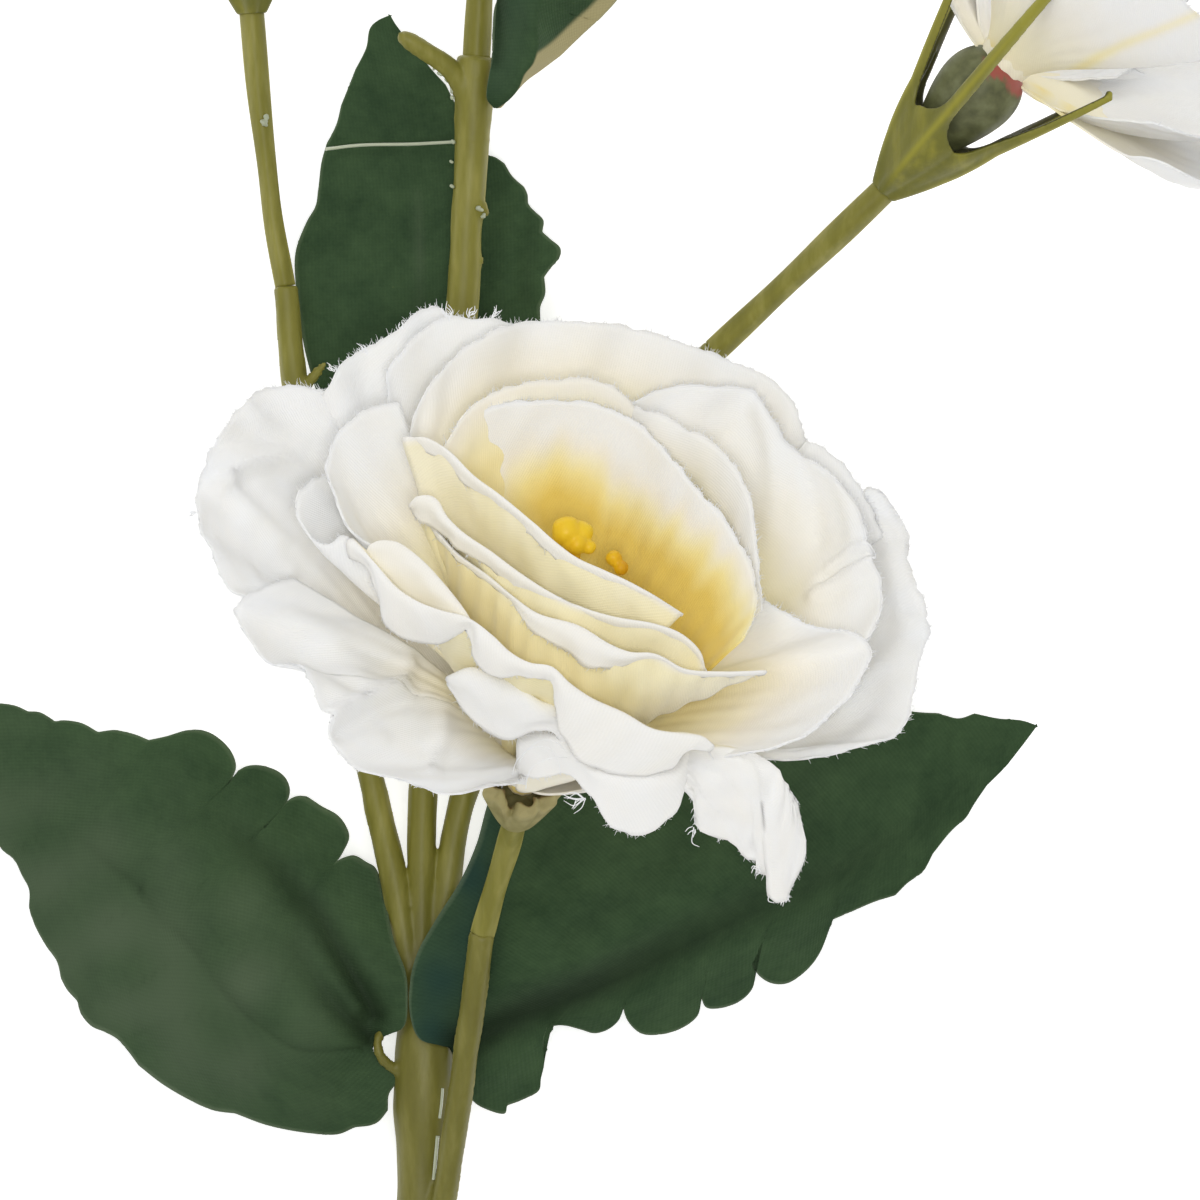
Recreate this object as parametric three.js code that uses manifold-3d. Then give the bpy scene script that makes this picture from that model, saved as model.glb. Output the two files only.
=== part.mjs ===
// An artificial lisianthus spray lying on a table: fabric petals and leaves on moulded plastic stems.
// Millimetres, +Z up. X runs to the right and Y up the spray, as one sees it from straight above.
import * as THREE from 'three';
import { mergeVertices } from 'three/addons/utils/BufferGeometryUtils.js';
import Module from 'manifold-3d';

const wasm = await Module();
wasm.setup();

// ---------- Driving dimensions ----------

const seatGap = 0.3;
const petalThickness = 0.7;
const petalStep = 7;
const leafThickness = 0.8;

const trunkRadius = 2.1;
const nodeRadius = 2.9;
const branchRadius = 1.35;
const stalkRadius = 1.3;
const cutEndY = -90;

const nodeCentre = [42.3, 14, 9.2];
const leftJoint = [28.4, 91.5, 7.5];
const rightJoint = [71.5, 85, 14.8];
const bloomJoint = [47.9, 26.5, 18];
const topJoint = [47.6, 114.5, 9.7];

const mainBloomFoot = [51.5, 38, 23];
const sideBloomFoot = [88.4, 101, 23];
const leftBudFoot = [25, 119, 5.55];
const topBudFoot = [49, 137, 10.5];

const calyxHeight = 5;
const calyxFootRadius = 1.35;
const calyxRimRadius = 3.7;
const sepalHalfAngle = 22.6;
const sepalRootHalfWidth = 1.3;
const sepalTipHalfWidth = 0.4;
const sideSeatHeight = 13;
const sideSeatRadius = 4.7;
const leftBudRadius = 6.2;
const leftBudLength = 23;
const topBudRadius = 5.4;
const topBudLength = 21;

const ivory = '#f1eee2';
const stigmaYellow = '#e5be1e';
const stemOlive = '#7e7a35';
const calyxBrown = '#8a8456';
const sepalOlive = '#7f7f3c';
const seatOlive = '#6f7350';
const leafGreen = '#34492f';

// ---------- Solids ----------

const degrees = THREE.MathUtils.degToRad;
const vector = ([x, y, z]) => new THREE.Vector3(x, y, z);
const smooth = (points) => new THREE.CatmullRomCurve3(points, false, 'centripetal');

function signedVolume(positions, triangles) {
  const [a, b, c] = [new THREE.Vector3(), new THREE.Vector3(), new THREE.Vector3()];
  let volume = 0;
  for (let i = 0; i < triangles.length; i += 3) {
    a.fromArray(positions, 3 * triangles[i]);
    b.fromArray(positions, 3 * triangles[i + 1]);
    c.fromArray(positions, 3 * triangles[i + 2]);
    volume += a.dot(b.cross(c)) / 6;
  }
  return volume;
}

// A closed geometry of corner points and triangles, its faces turned outward.
function closedGeometry(corners, triangles) {
  const positions = corners.flatMap((corner) => corner.toArray());
  if (signedVolume(positions, triangles) < 0) {
    for (let i = 0; i < triangles.length; i += 3) {
      [triangles[i], triangles[i + 1]] = [triangles[i + 1], triangles[i]];
    }
  }
  const geometry = new THREE.BufferGeometry();
  geometry.setAttribute('position', new THREE.Float32BufferAttribute(positions, 3));
  geometry.setIndex(triangles);
  return geometry;
}

function solidOf(geometry) {
  const bare = geometry.clone();
  bare.deleteAttribute('normal');
  bare.deleteAttribute('uv');
  const merged = mergeVertices(bare, 1e-4);
  return new wasm.Manifold(new wasm.Mesh({
    numProp: 3,
    vertProperties: new Float32Array(merged.attributes.position.array),
    triVerts: new Uint32Array(merged.index.array),
  }));
}

// The largest connected body of a solid: sealed hollows are filled and loose scraps dropped.
function largestBody(solid) {
  const bodies = solid.simplify(0.03).decompose();
  return bodies.reduce((best, body) => (body.volume() > best.volume() ? body : best));
}

function geometryOf(solid) {
  const mesh = largestBody(solid).getMesh();
  const geometry = new THREE.BufferGeometry();
  geometry.setAttribute('position', new THREE.BufferAttribute(new Float32Array(mesh.vertProperties), 3));
  geometry.setIndex(Array.from(mesh.triVerts));
  return geometry;
}

const join = (geometries) => geometries.map(solidOf).reduce((whole, solid) => whole.add(solid));

// The triangles of a closed tube of rings, with a flat fan at each end.
function ringTriangles(sides, steps) {
  const triangles = [];
  for (let i = 0; i < steps; i += 1) {
    for (let k = 0; k < sides; k += 1) {
      const a = i * sides + k;
      const b = i * sides + ((k + 1) % sides);
      triangles.push(a, b, a + sides, b, b + sides, a + sides);
    }
  }
  for (let k = 1; k < sides - 1; k += 1) {
    triangles.push(0, k + 1, k);
    triangles.push(steps * sides, steps * sides + k, steps * sides + k + 1);
  }
  return triangles;
}

// A tube along a curve, its radius a function of the way along it from 0 to 1, with flat ends.
function tube(curve, radiusAt, sides, steps) {
  const frames = curve.computeFrenetFrames(steps, false);
  const corners = [];
  for (let i = 0; i <= steps; i += 1) {
    const centre = curve.getPointAt(i / steps);
    for (let k = 0; k < sides; k += 1) {
      const angle = (2 * Math.PI * k) / sides;
      corners.push(centre.clone()
        .addScaledVector(frames.normals[i], radiusAt(i / steps) * Math.cos(angle))
        .addScaledVector(frames.binormals[i], radiusAt(i / steps) * Math.sin(angle)));
    }
  }
  return closedGeometry(corners, ringTriangles(sides, steps));
}

// A blade of even thickness on a grid of points, split into triangles alike on both faces.
function blade(grid, thickness) {
  const rows = grid.length;
  const columns = grid[0].length;
  const normalAt = (row, column) => {
    const along = grid[Math.min(row + 1, rows - 1)][column].clone()
      .sub(grid[Math.max(row - 1, 0)][column]);
    const across = grid[row][Math.min(column + 1, columns - 1)].clone()
      .sub(grid[row][Math.max(column - 1, 0)]);
    return along.cross(across).normalize();
  };
  const corners = [];
  for (const side of [0.5, -0.5]) {
    grid.forEach((line, row) => line.forEach((point, column) => {
      corners.push(point.clone().addScaledVector(normalAt(row, column), side * thickness));
    }));
  }
  const far = rows * columns;
  const triangles = [];
  for (let row = 0; row < rows - 1; row += 1) {
    for (let column = 0; column < columns - 1; column += 1) {
      const a = row * columns + column;
      const [b, c, d] = [a + 1, a + columns, a + columns + 1];
      triangles.push(a, c, b, b, c, d);
      triangles.push(far + a, far + b, far + c, far + b, far + d, far + c);
    }
  }
  const wall = (a, b) => triangles.push(a, b, far + a, b, far + b, far + a);
  for (let column = 0; column < columns - 1; column += 1) {
    wall(column, column + 1);
    wall((rows - 1) * columns + column + 1, (rows - 1) * columns + column);
  }
  for (let row = 0; row < rows - 1; row += 1) {
    wall((row + 1) * columns, row * columns);
    wall(row * columns + columns - 1, (row + 1) * columns + columns - 1);
  }
  return closedGeometry(corners, triangles);
}

// ---------- Blooms ----------

// A bloom's frame: its axis by heading and rise, and the directions that its petals' turns count from.
// Turn 0 is level and to the right, 90 faces away from the viewer above, 270 toward the viewer.
// The petals grow from a root circle of its own radius and height.
function bloomFrame({ foot, heading, rise, rootRadius, rootHeight }) {
  const [level, steep] = [degrees(heading), degrees(rise)];
  const axis = new THREE.Vector3(
    Math.cos(steep) * Math.cos(level),
    Math.cos(steep) * Math.sin(level),
    Math.sin(steep),
  );
  const right = new THREE.Vector3(Math.sin(level), -Math.cos(level), 0);
  const under = axis.clone().cross(right);
  return { foot: vector(foot), axis, right, under, rootRadius, rootHeight };
}

function outward(bloom, turn) {
  return bloom.right.clone().multiplyScalar(Math.cos(degrees(turn)))
    .addScaledVector(bloom.under, Math.sin(degrees(turn)));
}

// A point seen at x, y beside the foot and standing at a height up the bloom's axis.
function seenPoint(bloom, [x, y, height]) {
  const { axis, foot } = bloom;
  const rise = (height - axis.x * x - axis.y * y) / axis.z;
  return new THREE.Vector3(x, y, rise).add(foot);
}

function turnedPoint(bloom, turn, radius, height) {
  return bloom.foot.clone().addScaledVector(outward(bloom, turn), radius)
    .addScaledVector(bloom.axis, height);
}

// A petal runs from a short root arc up a curve to its rim. Its layer counts from the middle, 0, to the
// outside, 4, and sets how wide its root arc is. It leaves the root by a reach along the axis and a belly
// outward, and bends to meet the rim at its flare from the axis.
function petalBlade(bloom, petal) {
  const { rim, layer, turns, flare, belly, reach = 0.3, bend = 0.35, along = 4 } = petal;
  const edge = smooth(rim);
  const across = THREE.MathUtils.clamp(Math.round(edge.getLength() / petalStep), 3, 9);
  const grid = [];
  for (let i = 0; i <= across; i += 1) {
    const turn = THREE.MathUtils.lerp(turns[0], turns[1], i / across);
    const side = outward(bloom, turn);
    const end = edge.getPointAt(i / across);
    const root = turnedPoint(bloom, turn, bloom.rootRadius * (0.35 + 0.2 * layer), bloom.rootHeight + 1);
    const length = end.distanceTo(root);
    const leave = root.clone().addScaledVector(bloom.axis, reach * length)
      .addScaledVector(side, belly * length);
    const arrive = end.clone()
      .addScaledVector(bloom.axis, -bend * length * Math.cos(degrees(flare)))
      .addScaledVector(side, -bend * length * Math.sin(degrees(flare)));
    const run = new THREE.CubicBezierCurve3(root, leave, arrive, end);
    grid.push(Array.from({ length: along + 1 }, (_, j) => run.getPoint(j / along)));
  }
  return blade(grid, petalThickness);
}

// A small widening heart at the foot of a bloom, in which the petals' roots are sunk.
function heart(bloom, height) {
  const { rootRadius, rootHeight } = bloom;
  const spine = new THREE.LineCurve3(
    turnedPoint(bloom, 0, 0, rootHeight),
    turnedPoint(bloom, 0, 0, rootHeight + height),
  );
  return tube(spine, (t) => rootRadius + 0.5 + 0.35 * height * t * (1.5 - t), 10, 3);
}

// The main bloom's petals. Each rim has points [x, y, height] beside the foot, in order round the rim.
// The turns are those of the rim's first and last points.
const mainBloom = bloomFrame({
  foot: mainBloomFoot,
  heading: 79,
  rise: 48,
  rootRadius: 2.9,
  rootHeight: calyxHeight + seatGap,
});
const mainPetals = [
  { // inner cup at the back
    rim: [[-6, 36, 33], [-3, 41, 37], [2.5, 42, 38], [8.5, 41.5, 38], [13, 39, 38], [17.5, 34, 38],
      [21.5, 29, 38], [23.7, 24, 37.5], [23.5, 18.5, 36], [21, 14, 33]],
    layer: 0, turns: [140, -20], flare: 15, belly: 0.3,
  },
  { // collar behind the cup
    rim: [[-8, 35, 33], [-7, 37.5, 35.5], [-4.5, 41, 37.5], [0, 43.5, 39], [4.5, 44, 39], [8.5, 44, 39],
      [11, 42.5, 38], [13, 40, 36]],
    layer: 1, turns: [150, 75], flare: 20, belly: 0.34,
  },
  { // collar to the right of the cup
    rim: [[9.5, 42, 35], [14, 40.7, 38.5], [17.5, 39, 38.5], [20.7, 37, 38.5], [23, 33.5, 38.5],
      [24, 29.5, 38], [24.5, 21, 35]],
    layer: 1, turns: [80, 0], flare: 20, belly: 0.34,
  },
  { // inner front, leaning over the throat
    rim: [[-11, 38, 36.5], [-8.5, 38, 38], [-5.2, 36, 38.5], [-2, 33, 39], [1.5, 29.5, 39],
      [4.5, 26, 39], [7.5, 24.4, 38.5], [11, 23, 38], [16.7, 20.7, 36.5], [15.3, 19.4, 33]],
    layer: 0, turns: [195, 310], flare: -25, belly: 0.2,
  },
  { // second front
    rim: [[-10.3, 30, 34.5], [-10.3, 32.4, 36.5], [-7.8, 32.5, 37.5], [-4.5, 29.2, 38], [-1.5, 26, 38],
      [2.5, 23.2, 38], [10.5, 21, 37], [15, 19.4, 36.5], [17.7, 17.2, 35], [19, 14.8, 33]],
    layer: 1, turns: [200, 320], flare: -15, belly: 0.25,
  },
  { // third front
    rim: [[-1, 20.8, 34], [0.2, 21.6, 35], [3, 19, 36], [6, 16.5, 37], [8.5, 15, 37], [11.5, 16, 37],
      [14.4, 16.3, 37], [20.5, 14.8, 36], [24.2, 14.5, 34.5], [22.5, 12.8, 32]],
    layer: 2, turns: [235, 335], flare: 0, belly: 0.27,
  },
  { // tall back
    rim: [[-10.6, 37, 31], [-10.2, 40, 33.5], [-8.7, 43, 35.5], [-6.7, 45.7, 36.5], [-3.5, 48.2, 37.5],
      [1.5, 49.8, 38], [10.5, 49.5, 38], [19, 47, 37], [26.5, 43.4, 35], [28.5, 40.4, 34],
      [29.1, 38, 32]],
    layer: 2, turns: [145, 40], flare: 35, belly: 0.36,
  },
  { // tall right
    rim: [[11.3, 41.6, 35], [15.5, 43.3, 36.5], [20, 43.5, 37], [23.7, 43, 36.5], [25.7, 40.5, 36],
      [27, 38, 35], [33, 33.3, 34], [35.7, 27.5, 33], [36.5, 24, 32.5], [36.5, 20.8, 32],
      [34.5, 16.8, 31]],
    layer: 2, turns: [75, -25], flare: 40, belly: 0.36,
  },
  { // low right, in front
    rim: [[24.2, 22.8, 33], [26.3, 21.2, 33.5], [29, 20, 33.5], [32.4, 19.3, 33.5], [34.7, 17.5, 32.5],
      [33.5, 14.4, 31.5], [28.5, 8.8, 30], [25, 7, 29], [21, 6.3, 27]],
    layer: 3, turns: [5, -65], flare: 45, belly: 0.36,
  },
  { // left fold, inside the round left cup
    rim: [[-14.5, 26.4, 32], [-13.8, 27.7, 34.5], [-12, 28, 35.5], [-8.7, 25.2, 36], [-6.3, 22.7, 36],
      [-2.3, 19, 34]],
    layer: 2, turns: [190, 250], flare: 5, belly: 0.3,
  },
  { // frill at the left front
    rim: [[-18.5, 34, 30], [-21, 33.4, 32], [-21.7, 31.4, 32], [-21, 29.3, 32], [-18.8, 28, 32.5],
      [-14.3, 26.5, 33.5], [-13.4, 21.2, 31], [-12, 19, 30.5], [-9, 17.5, 30.5], [-6.3, 18, 32],
      [-4.7, 19.6, 34]],
    layer: 3, turns: [165, 250], flare: 50, belly: 0.32,
  },
  { // upper half of the wavy front petal
    rim: [[-16.2, 28, 33], [-15.4, 25.8, 34], [-13, 24, 34], [-9.1, 21.4, 34], [-6.5, 20.6, 34.5],
      [-4.7, 19, 34.5], [-4, 16.5, 34], [-2.7, 14.8, 33]],
    layer: 3, turns: [195, 255], flare: 60, belly: 0.3,
  },
  { // lower half of the wavy front petal
    rim: [[-4.5, 19, 33], [-4, 16.5, 34.3], [-2.5, 14.8, 34.3], [1.1, 14.5, 34], [3.7, 13.4, 33.5],
      [4.9, 10.3, 31.8], [6.5, 6.8, 30.5], [8.8, 5.3, 29.5], [12.5, 4.3, 29], [15.3, 4.8, 29],
      [18.5, 7.8, 31.5], [20.3, 7.2, 30]],
    layer: 3, turns: [235, 320], flare: 65, belly: 0.3,
  },
  { // round left cup
    rim: [[-11.5, 41.8, 34], [-14, 41.4, 34], [-16.3, 40, 33.5], [-18, 38.4, 33], [-18.7, 36.2, 32.5],
      [-18.6, 34, 32.5], [-17.8, 31.8, 32.5], [-16.2, 29.5, 33], [-14.3, 27.5, 33]],
    layer: 2, turns: [130, 205], flare: 20, belly: 0.36,
  },
  { // back left, inner
    rim: [[-13, 41.5, 31], [-13, 45, 33], [-11.3, 47, 34], [-9.3, 49, 35], [-6.5, 50.3, 35.5],
      [-0.7, 49.8, 35], [2, 48.7, 33]],
    layer: 3, turns: [145, 95], flare: 45, belly: 0.38,
  },
  { // back left, outer
    rim: [[-19.7, 41.8, 28], [-18.5, 44, 30], [-16.7, 46.2, 31], [-13, 48.2, 32], [-9, 51.2, 33],
      [-7.5, 51.2, 33], [-6.3, 49.8, 32.5], [-4.3, 48.4, 30]],
    layer: 4, turns: [150, 105], flare: 55, belly: 0.4,
  },
  { // outer left lobe
    rim: [[-27, 21, 26], [-29, 23.8, 27], [-30.7, 27.7, 28], [-31.7, 31.2, 28.5], [-31.3, 34.2, 29],
      [-30, 37.7, 29.5], [-28, 40.8, 29.5], [-25.3, 43, 29.5], [-22.5, 43.5, 29.5], [-20, 43, 29],
      [-18.3, 41.5, 27]],
    layer: 4, turns: [205, 140], flare: 60, belly: 0.38,
  },
  { // big lower left lobe
    rim: [[1, 4.3, 17], [-2, 3.5, 20], [-6.5, 3, 22], [-11.5, 3.6, 23], [-15.5, 5.3, 24], [-18, 7.2, 25],
      [-19, 10.3, 25.5], [-20.7, 13, 26], [-21.5, 15.8, 26.5], [-24.3, 16.8, 27], [-28.5, 20.4, 27],
      [-26.5, 22.6, 27.5], [-22, 24.2, 27]],
    layer: 4, turns: [290, 195], flare: 60, belly: 0.36,
  },
  { // small front fold
    rim: [[-6.7, 14, 30], [-6.3, 11.8, 28.5], [-4.5, 9.8, 27.5], [-2, 8.5, 27], [0.3, 8.3, 27],
      [3, 9.2, 28], [5.7, 6.8, 25]],
    layer: 4, turns: [235, 290], flare: 60, belly: 0.34,
  },
  { // low front
    rim: [[4.1, 9.8, 26], [5.3, 5.8, 22], [7.3, 2.7, 20], [9.5, -0.7, 19], [12.7, -1.2, 19],
      [15.3, 0, 19.5], [17, 4.5, 23]],
    layer: 4, turns: [265, 310], flare: 70, belly: 0.4,
  },
  { // torn, pointed piece
    rim: [[16.3, 4.7, 23], [18, -0.6, 19.5], [19.8, -1.6, 19], [22.3, -2.6, 18.5], [24.5, -4.8, 17.5],
      [25.5, -7.6, 16], [27, -8.2, 16], [28.8, -3, 18], [28.7, 0, 20], [27.3, 2.8, 22],
      [22.7, 6.3, 26]],
    layer: 4, turns: [290, 335], flare: 120, belly: 0.3, reach: 0.6, bend: 0.5,
  },
  { // outer right lobe
    rim: [[23, 6.3, 21], [27.5, 6.2, 23], [31.5, 6.4, 24], [35, 7.2, 25], [39, 11.5, 26],
      [41.1, 18.8, 27], [41.2, 21.6, 27.5], [39.1, 26.8, 28.5], [39.4, 28.8, 29], [36.5, 33, 30],
      [34.8, 32.3, 29]],
    layer: 4, turns: [-60, 30], flare: 65, belly: 0.38,
  },
  { // upper right, behind
    rim: [[36.9, 28.2, 28], [35.3, 32, 30], [33.5, 34.8, 30.5], [31.5, 36.8, 31], [29.1, 38.2, 31],
      [27, 39.2, 29]],
    layer: 3, turns: [5, 50], flare: 60, belly: 0.4,
  },
];

function mainBloomPetals() {
  const petals = mainPetals.map((petal) => petalBlade(
    mainBloom,
    { ...petal, rim: petal.rim.map((point) => seenPoint(mainBloom, point)) },
  ));
  return join([heart(mainBloom, 7), ...petals]);
}

// A petal of a regular whorl: a rounded fan centred on its turn.
function fanPetal(bloom, petal) {
  const { turn, width, radius, height } = petal;
  const { rootRadius, rootHeight } = bloom;
  const rim = [];
  for (let i = 0; i <= 8; i += 1) {
    const u = i / 8;
    const fullness = Math.sin(Math.PI * (0.08 + 0.84 * u)) ** 0.6;
    const wave = 1 + 0.04 * Math.sin(5 * Math.PI * u + turn);
    rim.push(turnedPoint(
      bloom,
      turn + width * (u - 0.5),
      rootRadius + (radius - rootRadius) * fullness * wave,
      rootHeight + (height - rootHeight) * (0.25 + 0.75 * fullness),
    ));
  }
  return petalBlade(bloom, { ...petal, rim, turns: [turn - width / 2, turn + width / 2] });
}

const sideBloom = bloomFrame({
  foot: sideBloomFoot,
  heading: 47,
  rise: 12,
  rootRadius: 4.2,
  rootHeight: sideSeatHeight + seatGap,
});

// Rings of petals, from the closed middle out. The lower ring opens widest, down to the table.
const sideRings = [
  { count: 3, start: 20, step: 120, layer: 0, width: 140, radius: 8, height: 36, flare: -10, belly: 0.1,
    along: 2 },
  { count: 4, start: 60, step: 90, layer: 2, width: 105, radius: 16, height: 37, flare: 30, belly: 0.1,
    along: 3 },
  { count: 3, start: 200, step: 70, layer: 3, width: 92, radius: 24, height: 36, flare: 70, belly: 0.1,
    reach: 0.25, along: 4 },
  { count: 3, start: 35, step: 55, layer: 3, width: 76, radius: 30, height: 27, flare: 60, belly: 0.3,
    reach: 0.05, along: 3 },
];

function sideBloomPetals() {
  const petals = sideRings.flatMap((ring) => Array.from({ length: ring.count }, (_, i) => fanPetal(
    sideBloom,
    { ...ring, turn: ring.start + ring.step * i },
  )));
  return join([heart(sideBloom, 5), ...petals]);
}

// A furled bud: the edges of its petals stand out as steps that wind up round it and close at its tip.
function budPetals(bud, radius, length) {
  const petalCount = 4;
  const sidesPerPetal = 5;
  const sides = sidesPerPetal * petalCount;
  const steps = 8;
  const winding = 110;
  const swell = (t) => 0.3 + 0.7 * Math.sin(Math.PI * (0.02 + 0.96 * t)) ** 1.1;
  const closing = (t) => 1.6 * t ** 4;
  const corners = [];
  for (let j = 0; j <= steps; j += 1) {
    const t = j / steps;
    for (let k = 0; k < sides; k += 1) {
      const side = k % sidesPerPetal;
      const edge = petalThickness * Math.min(1, 4 * t) * (1 - side / (sidesPerPetal - 1));
      const edgeTuck = side === sidesPerPetal - 1 ? 0.7 : 0;
      const turn = (360 * (k - edgeTuck)) / sides + winding * t;
      const out = radius * swell(t) - closing(t) - edge;
      corners.push(turnedPoint(bud, turn, out, bud.rootHeight + length * t));
    }
  }
  return join([closedGeometry(corners, ringTriangles(sides, steps))]);
}

// ---------- Calyxes ----------

// A solid cup between two heights, each given with its radius.
function cup(bloom, [startHeight, startRadius], [endHeight, endRadius]) {
  const spine = new THREE.LineCurve3(
    turnedPoint(bloom, 0, 0, startHeight),
    turnedPoint(bloom, 0, 0, endHeight),
  );
  return tube(spine, (t) => startRadius + (endRadius - startRadius) * t ** 0.8, 10, 3);
}

// A sepal strap along a cone about the bloom, from inside the cup to its tip.
function strap(bloom, [turn, tip]) {
  const start = calyxHeight - 0.8;
  const steps = 4;
  const rootInset = 0.45;
  const grid = [];
  for (let i = 0; i <= steps; i += 1) {
    const t = i / steps;
    const height = THREE.MathUtils.lerp(start, tip, t);
    const cone = calyxFootRadius + height * Math.tan(degrees(sepalHalfAngle));
    const radius = cone - rootInset * (1 - t) ** 4;
    const half = THREE.MathUtils.lerp(sepalRootHalfWidth, sepalTipHalfWidth, t ** 2);
    const spread = THREE.MathUtils.radToDeg(half / radius);
    grid.push([-1, 1].map((side) => turnedPoint(bloom, turn + side * spread, radius, height)));
  }
  return blade(grid, petalThickness);
}

// Each strap has a turn and the height of its tip. Those under the bloom are short.
function calyx(bloom, straps) {
  return join([
    cup(bloom, [seatGap, calyxFootRadius], [calyxHeight, calyxRimRadius]),
    ...straps.map((each) => strap(bloom, each)),
  ]);
}

// The seat that carries an open bloom's petals, standing in its calyx between the straps.
function seat(bloom) {
  const footRadius = 2;
  return join([cup(bloom, [calyxHeight + seatGap, footRadius], [sideSeatHeight, sideSeatRadius])]);
}

// A style with a cluster of yellow lobes. Its points are [x, y, height] beside the foot.
function pistil(bloom, route, lobes) {
  const style = smooth(route.map((point) => seenPoint(bloom, point)));
  const styleRadius = 0.7;
  return join([
    tube(style, () => styleRadius, 6, 4),
    ...lobes.map(([point, radius]) => {
      const centre = seenPoint(bloom, point);
      return new THREE.IcosahedronGeometry(radius, 1).translate(centre.x, centre.y, centre.z);
    }),
  ]);
}

// ---------- Leaves ----------

// A leaf margin: scallops between hand-placed notch points, each bulging away from the midrib. A fourth
// number on a notch is the bulge of the scallop that follows it, as a share of the scallop's chord.
function scalloped(notches, midrib, commonBulge) {
  const perScallop = 3;
  const points = [];
  for (let scallop = 0; scallop < notches.length - 1; scallop += 1) {
    const [from, to] = [vector(notches[scallop]), vector(notches[scallop + 1])];
    const bulge = notches[scallop][3] ?? commonBulge;
    const middle = from.clone().lerp(to, 0.5);
    const inward = midrib.getPointAt((scallop + 0.5) / (notches.length - 1)).sub(middle);
    inward.projectOnPlane(to.clone().sub(from).normalize()).setZ(0).normalize();
    for (let k = 0; k < perScallop; k += 1) {
      const t = k / perScallop;
      const swell = bulge * from.distanceTo(to) * Math.sin(Math.PI * t);
      points.push(from.clone().lerp(to, t).addScaledVector(inward, -swell));
    }
  }
  points.push(vector(notches.at(-1)));
  return points;
}

function leafBlade({ midrib, left, right, bulge }) {
  const tipHalfWidth = 0.5;
  const rib = smooth(midrib.map(vector));
  const leftEdge = scalloped(left, rib, bulge);
  const rightEdge = scalloped(right, rib, bulge);
  const last = leftEdge.length - 1;
  const opening = rightEdge[last - 1].clone().sub(leftEdge[last - 1]).setLength(tipHalfWidth);
  leftEdge[last].sub(opening);
  rightEdge[last].add(opening);
  const grid = leftEdge.map((leftPoint, i) => {
    const centre = rib.getPointAt(i / last);
    return [
      leftPoint,
      leftPoint.clone().lerp(centre, 0.5),
      centre,
      rightEdge[i].clone().lerp(centre, 0.5),
      rightEdge[i],
    ];
  });
  return blade(grid, leafThickness);
}

// Each leaf's midrib and margins run from its base to its tip.
const lowerLeftLeaf = {
  midrib: [[39.2, 13.6, 9.6], [36.7, 14.5, 11], [29, 15.5, 13], [22.4, 20.4, 13.5], [14.7, 30.6, 13],
    [9.2, 35.2, 12], [0, 41, 10], [-10, 46, 7]],
  left: [[39.3, 14.8, 9, 0.2], [33.4, 34.1, 6, 0.33], [27.7, 38.8, 9, 0.33], [22.7, 41.9, 10, 0.2],
    [15, 45.9, 10.5], [9.2, 46.8, 10], [3.7, 48.3, 9.5], [-1.5, 49.2, 9], [-6, 48.6, 8], [-10, 46, 7]],
  right: [[39.3, 12.6, 9, 0.2], [36.5, 7.1, 8.5], [28, 6.9, 7], [20.5, 9.6, 6], [13.4, 14, 5.5],
    [9, 17.5, 5], [6, 22.5, 5], [2.6, 29.5, 5.5], [-1.5, 36.5, 6], [-10, 46, 7]],
  bulge: 0.07,
};

const lowerRightLeaf = {
  midrib: [[45.3, 14.5, 11.5], [48.5, 15.5, 12.5], [56, 19, 14], [69.5, 25, 14], [80, 31, 13.5],
    [89, 37.5, 12.5], [96, 43, 11.5], [103.9, 47.6, 11]],
  left: [[44.9, 15.6, 12, 0.2], [44, 30, 13.5, 0.1], [50, 41, 12.5], [57.5, 45, 11.5], [66, 47, 10.5],
    [75, 48.2, 10], [83, 48.7, 10], [90.7, 48.6, 10], [98, 48.4, 10.5], [103.9, 47.6, 11]],
  right: [[45.6, 13.2, 11, 0.6], [54.5, 16.8, 9, 0.1], [62.3, 19.4, 9.3, 0.28], [70.2, 20, 9, 0.2],
    [75.1, 23.4, 8.5, 0.28], [83.4, 27.8, 8, 0.12], [90.5, 31.6, 8.5], [93.5, 35.3, 9], [98.5, 41.2, 10],
    [103.9, 47.6, 11]],
  bulge: 0.05,
};

const upperBackLeaf = {
  midrib: [[44.2, 62, 6.7], [44.2, 75, 5], [43.6, 88, 4.3], [42.3, 100, 4.2], [40, 111, 4.5],
    [38.8, 118.8, 5]],
  left: [[43.2, 62, 6.6], [36, 72, 5], [32, 80, 4.5], [29.9, 88, 4], [29.5, 95, 4], [31.6, 100.5, 4],
    [32.3, 106, 4.2], [34.3, 111.5, 4.4], [36.7, 116.3, 4.6], [38.8, 118.8, 5]],
  right: [[45.4, 62, 6.6], [50.6, 71, 5], [54, 79, 4.5], [54, 88, 4, 0.12], [55.8, 94.4, 4, 0.1],
    [53.8, 98.3, 4, 0.1], [52.4, 101.3, 4], [49.3, 104.6, 4.2], [44.4, 110.8, 4.5], [38.8, 118.8, 5]],
  bulge: 0.04,
};

const upperRightLeaf = {
  midrib: [[48.2, 109, 10.6], [51, 114, 13], [55, 120, 14.5], [60, 127, 15], [67, 135, 13.5],
    [74, 143, 11]],
  left: [[48, 109.6, 10.8], [48.9, 114, 15], [50.5, 118.5, 17.5], [53.5, 124, 18.5], [58, 130, 18.5],
    [63, 135.5, 17], [68.5, 140, 14.5], [74, 143, 11]],
  right: [[48.8, 108.6, 10.4], [52.3, 112.3, 11], [55.6, 115.8, 11], [59.8, 119.1, 11], [64, 123.7, 11],
    [69, 129.5, 11], [72.5, 136, 11], [74, 143, 11]],
  bulge: 0.06,
};

// ---------- Stems ----------

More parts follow.
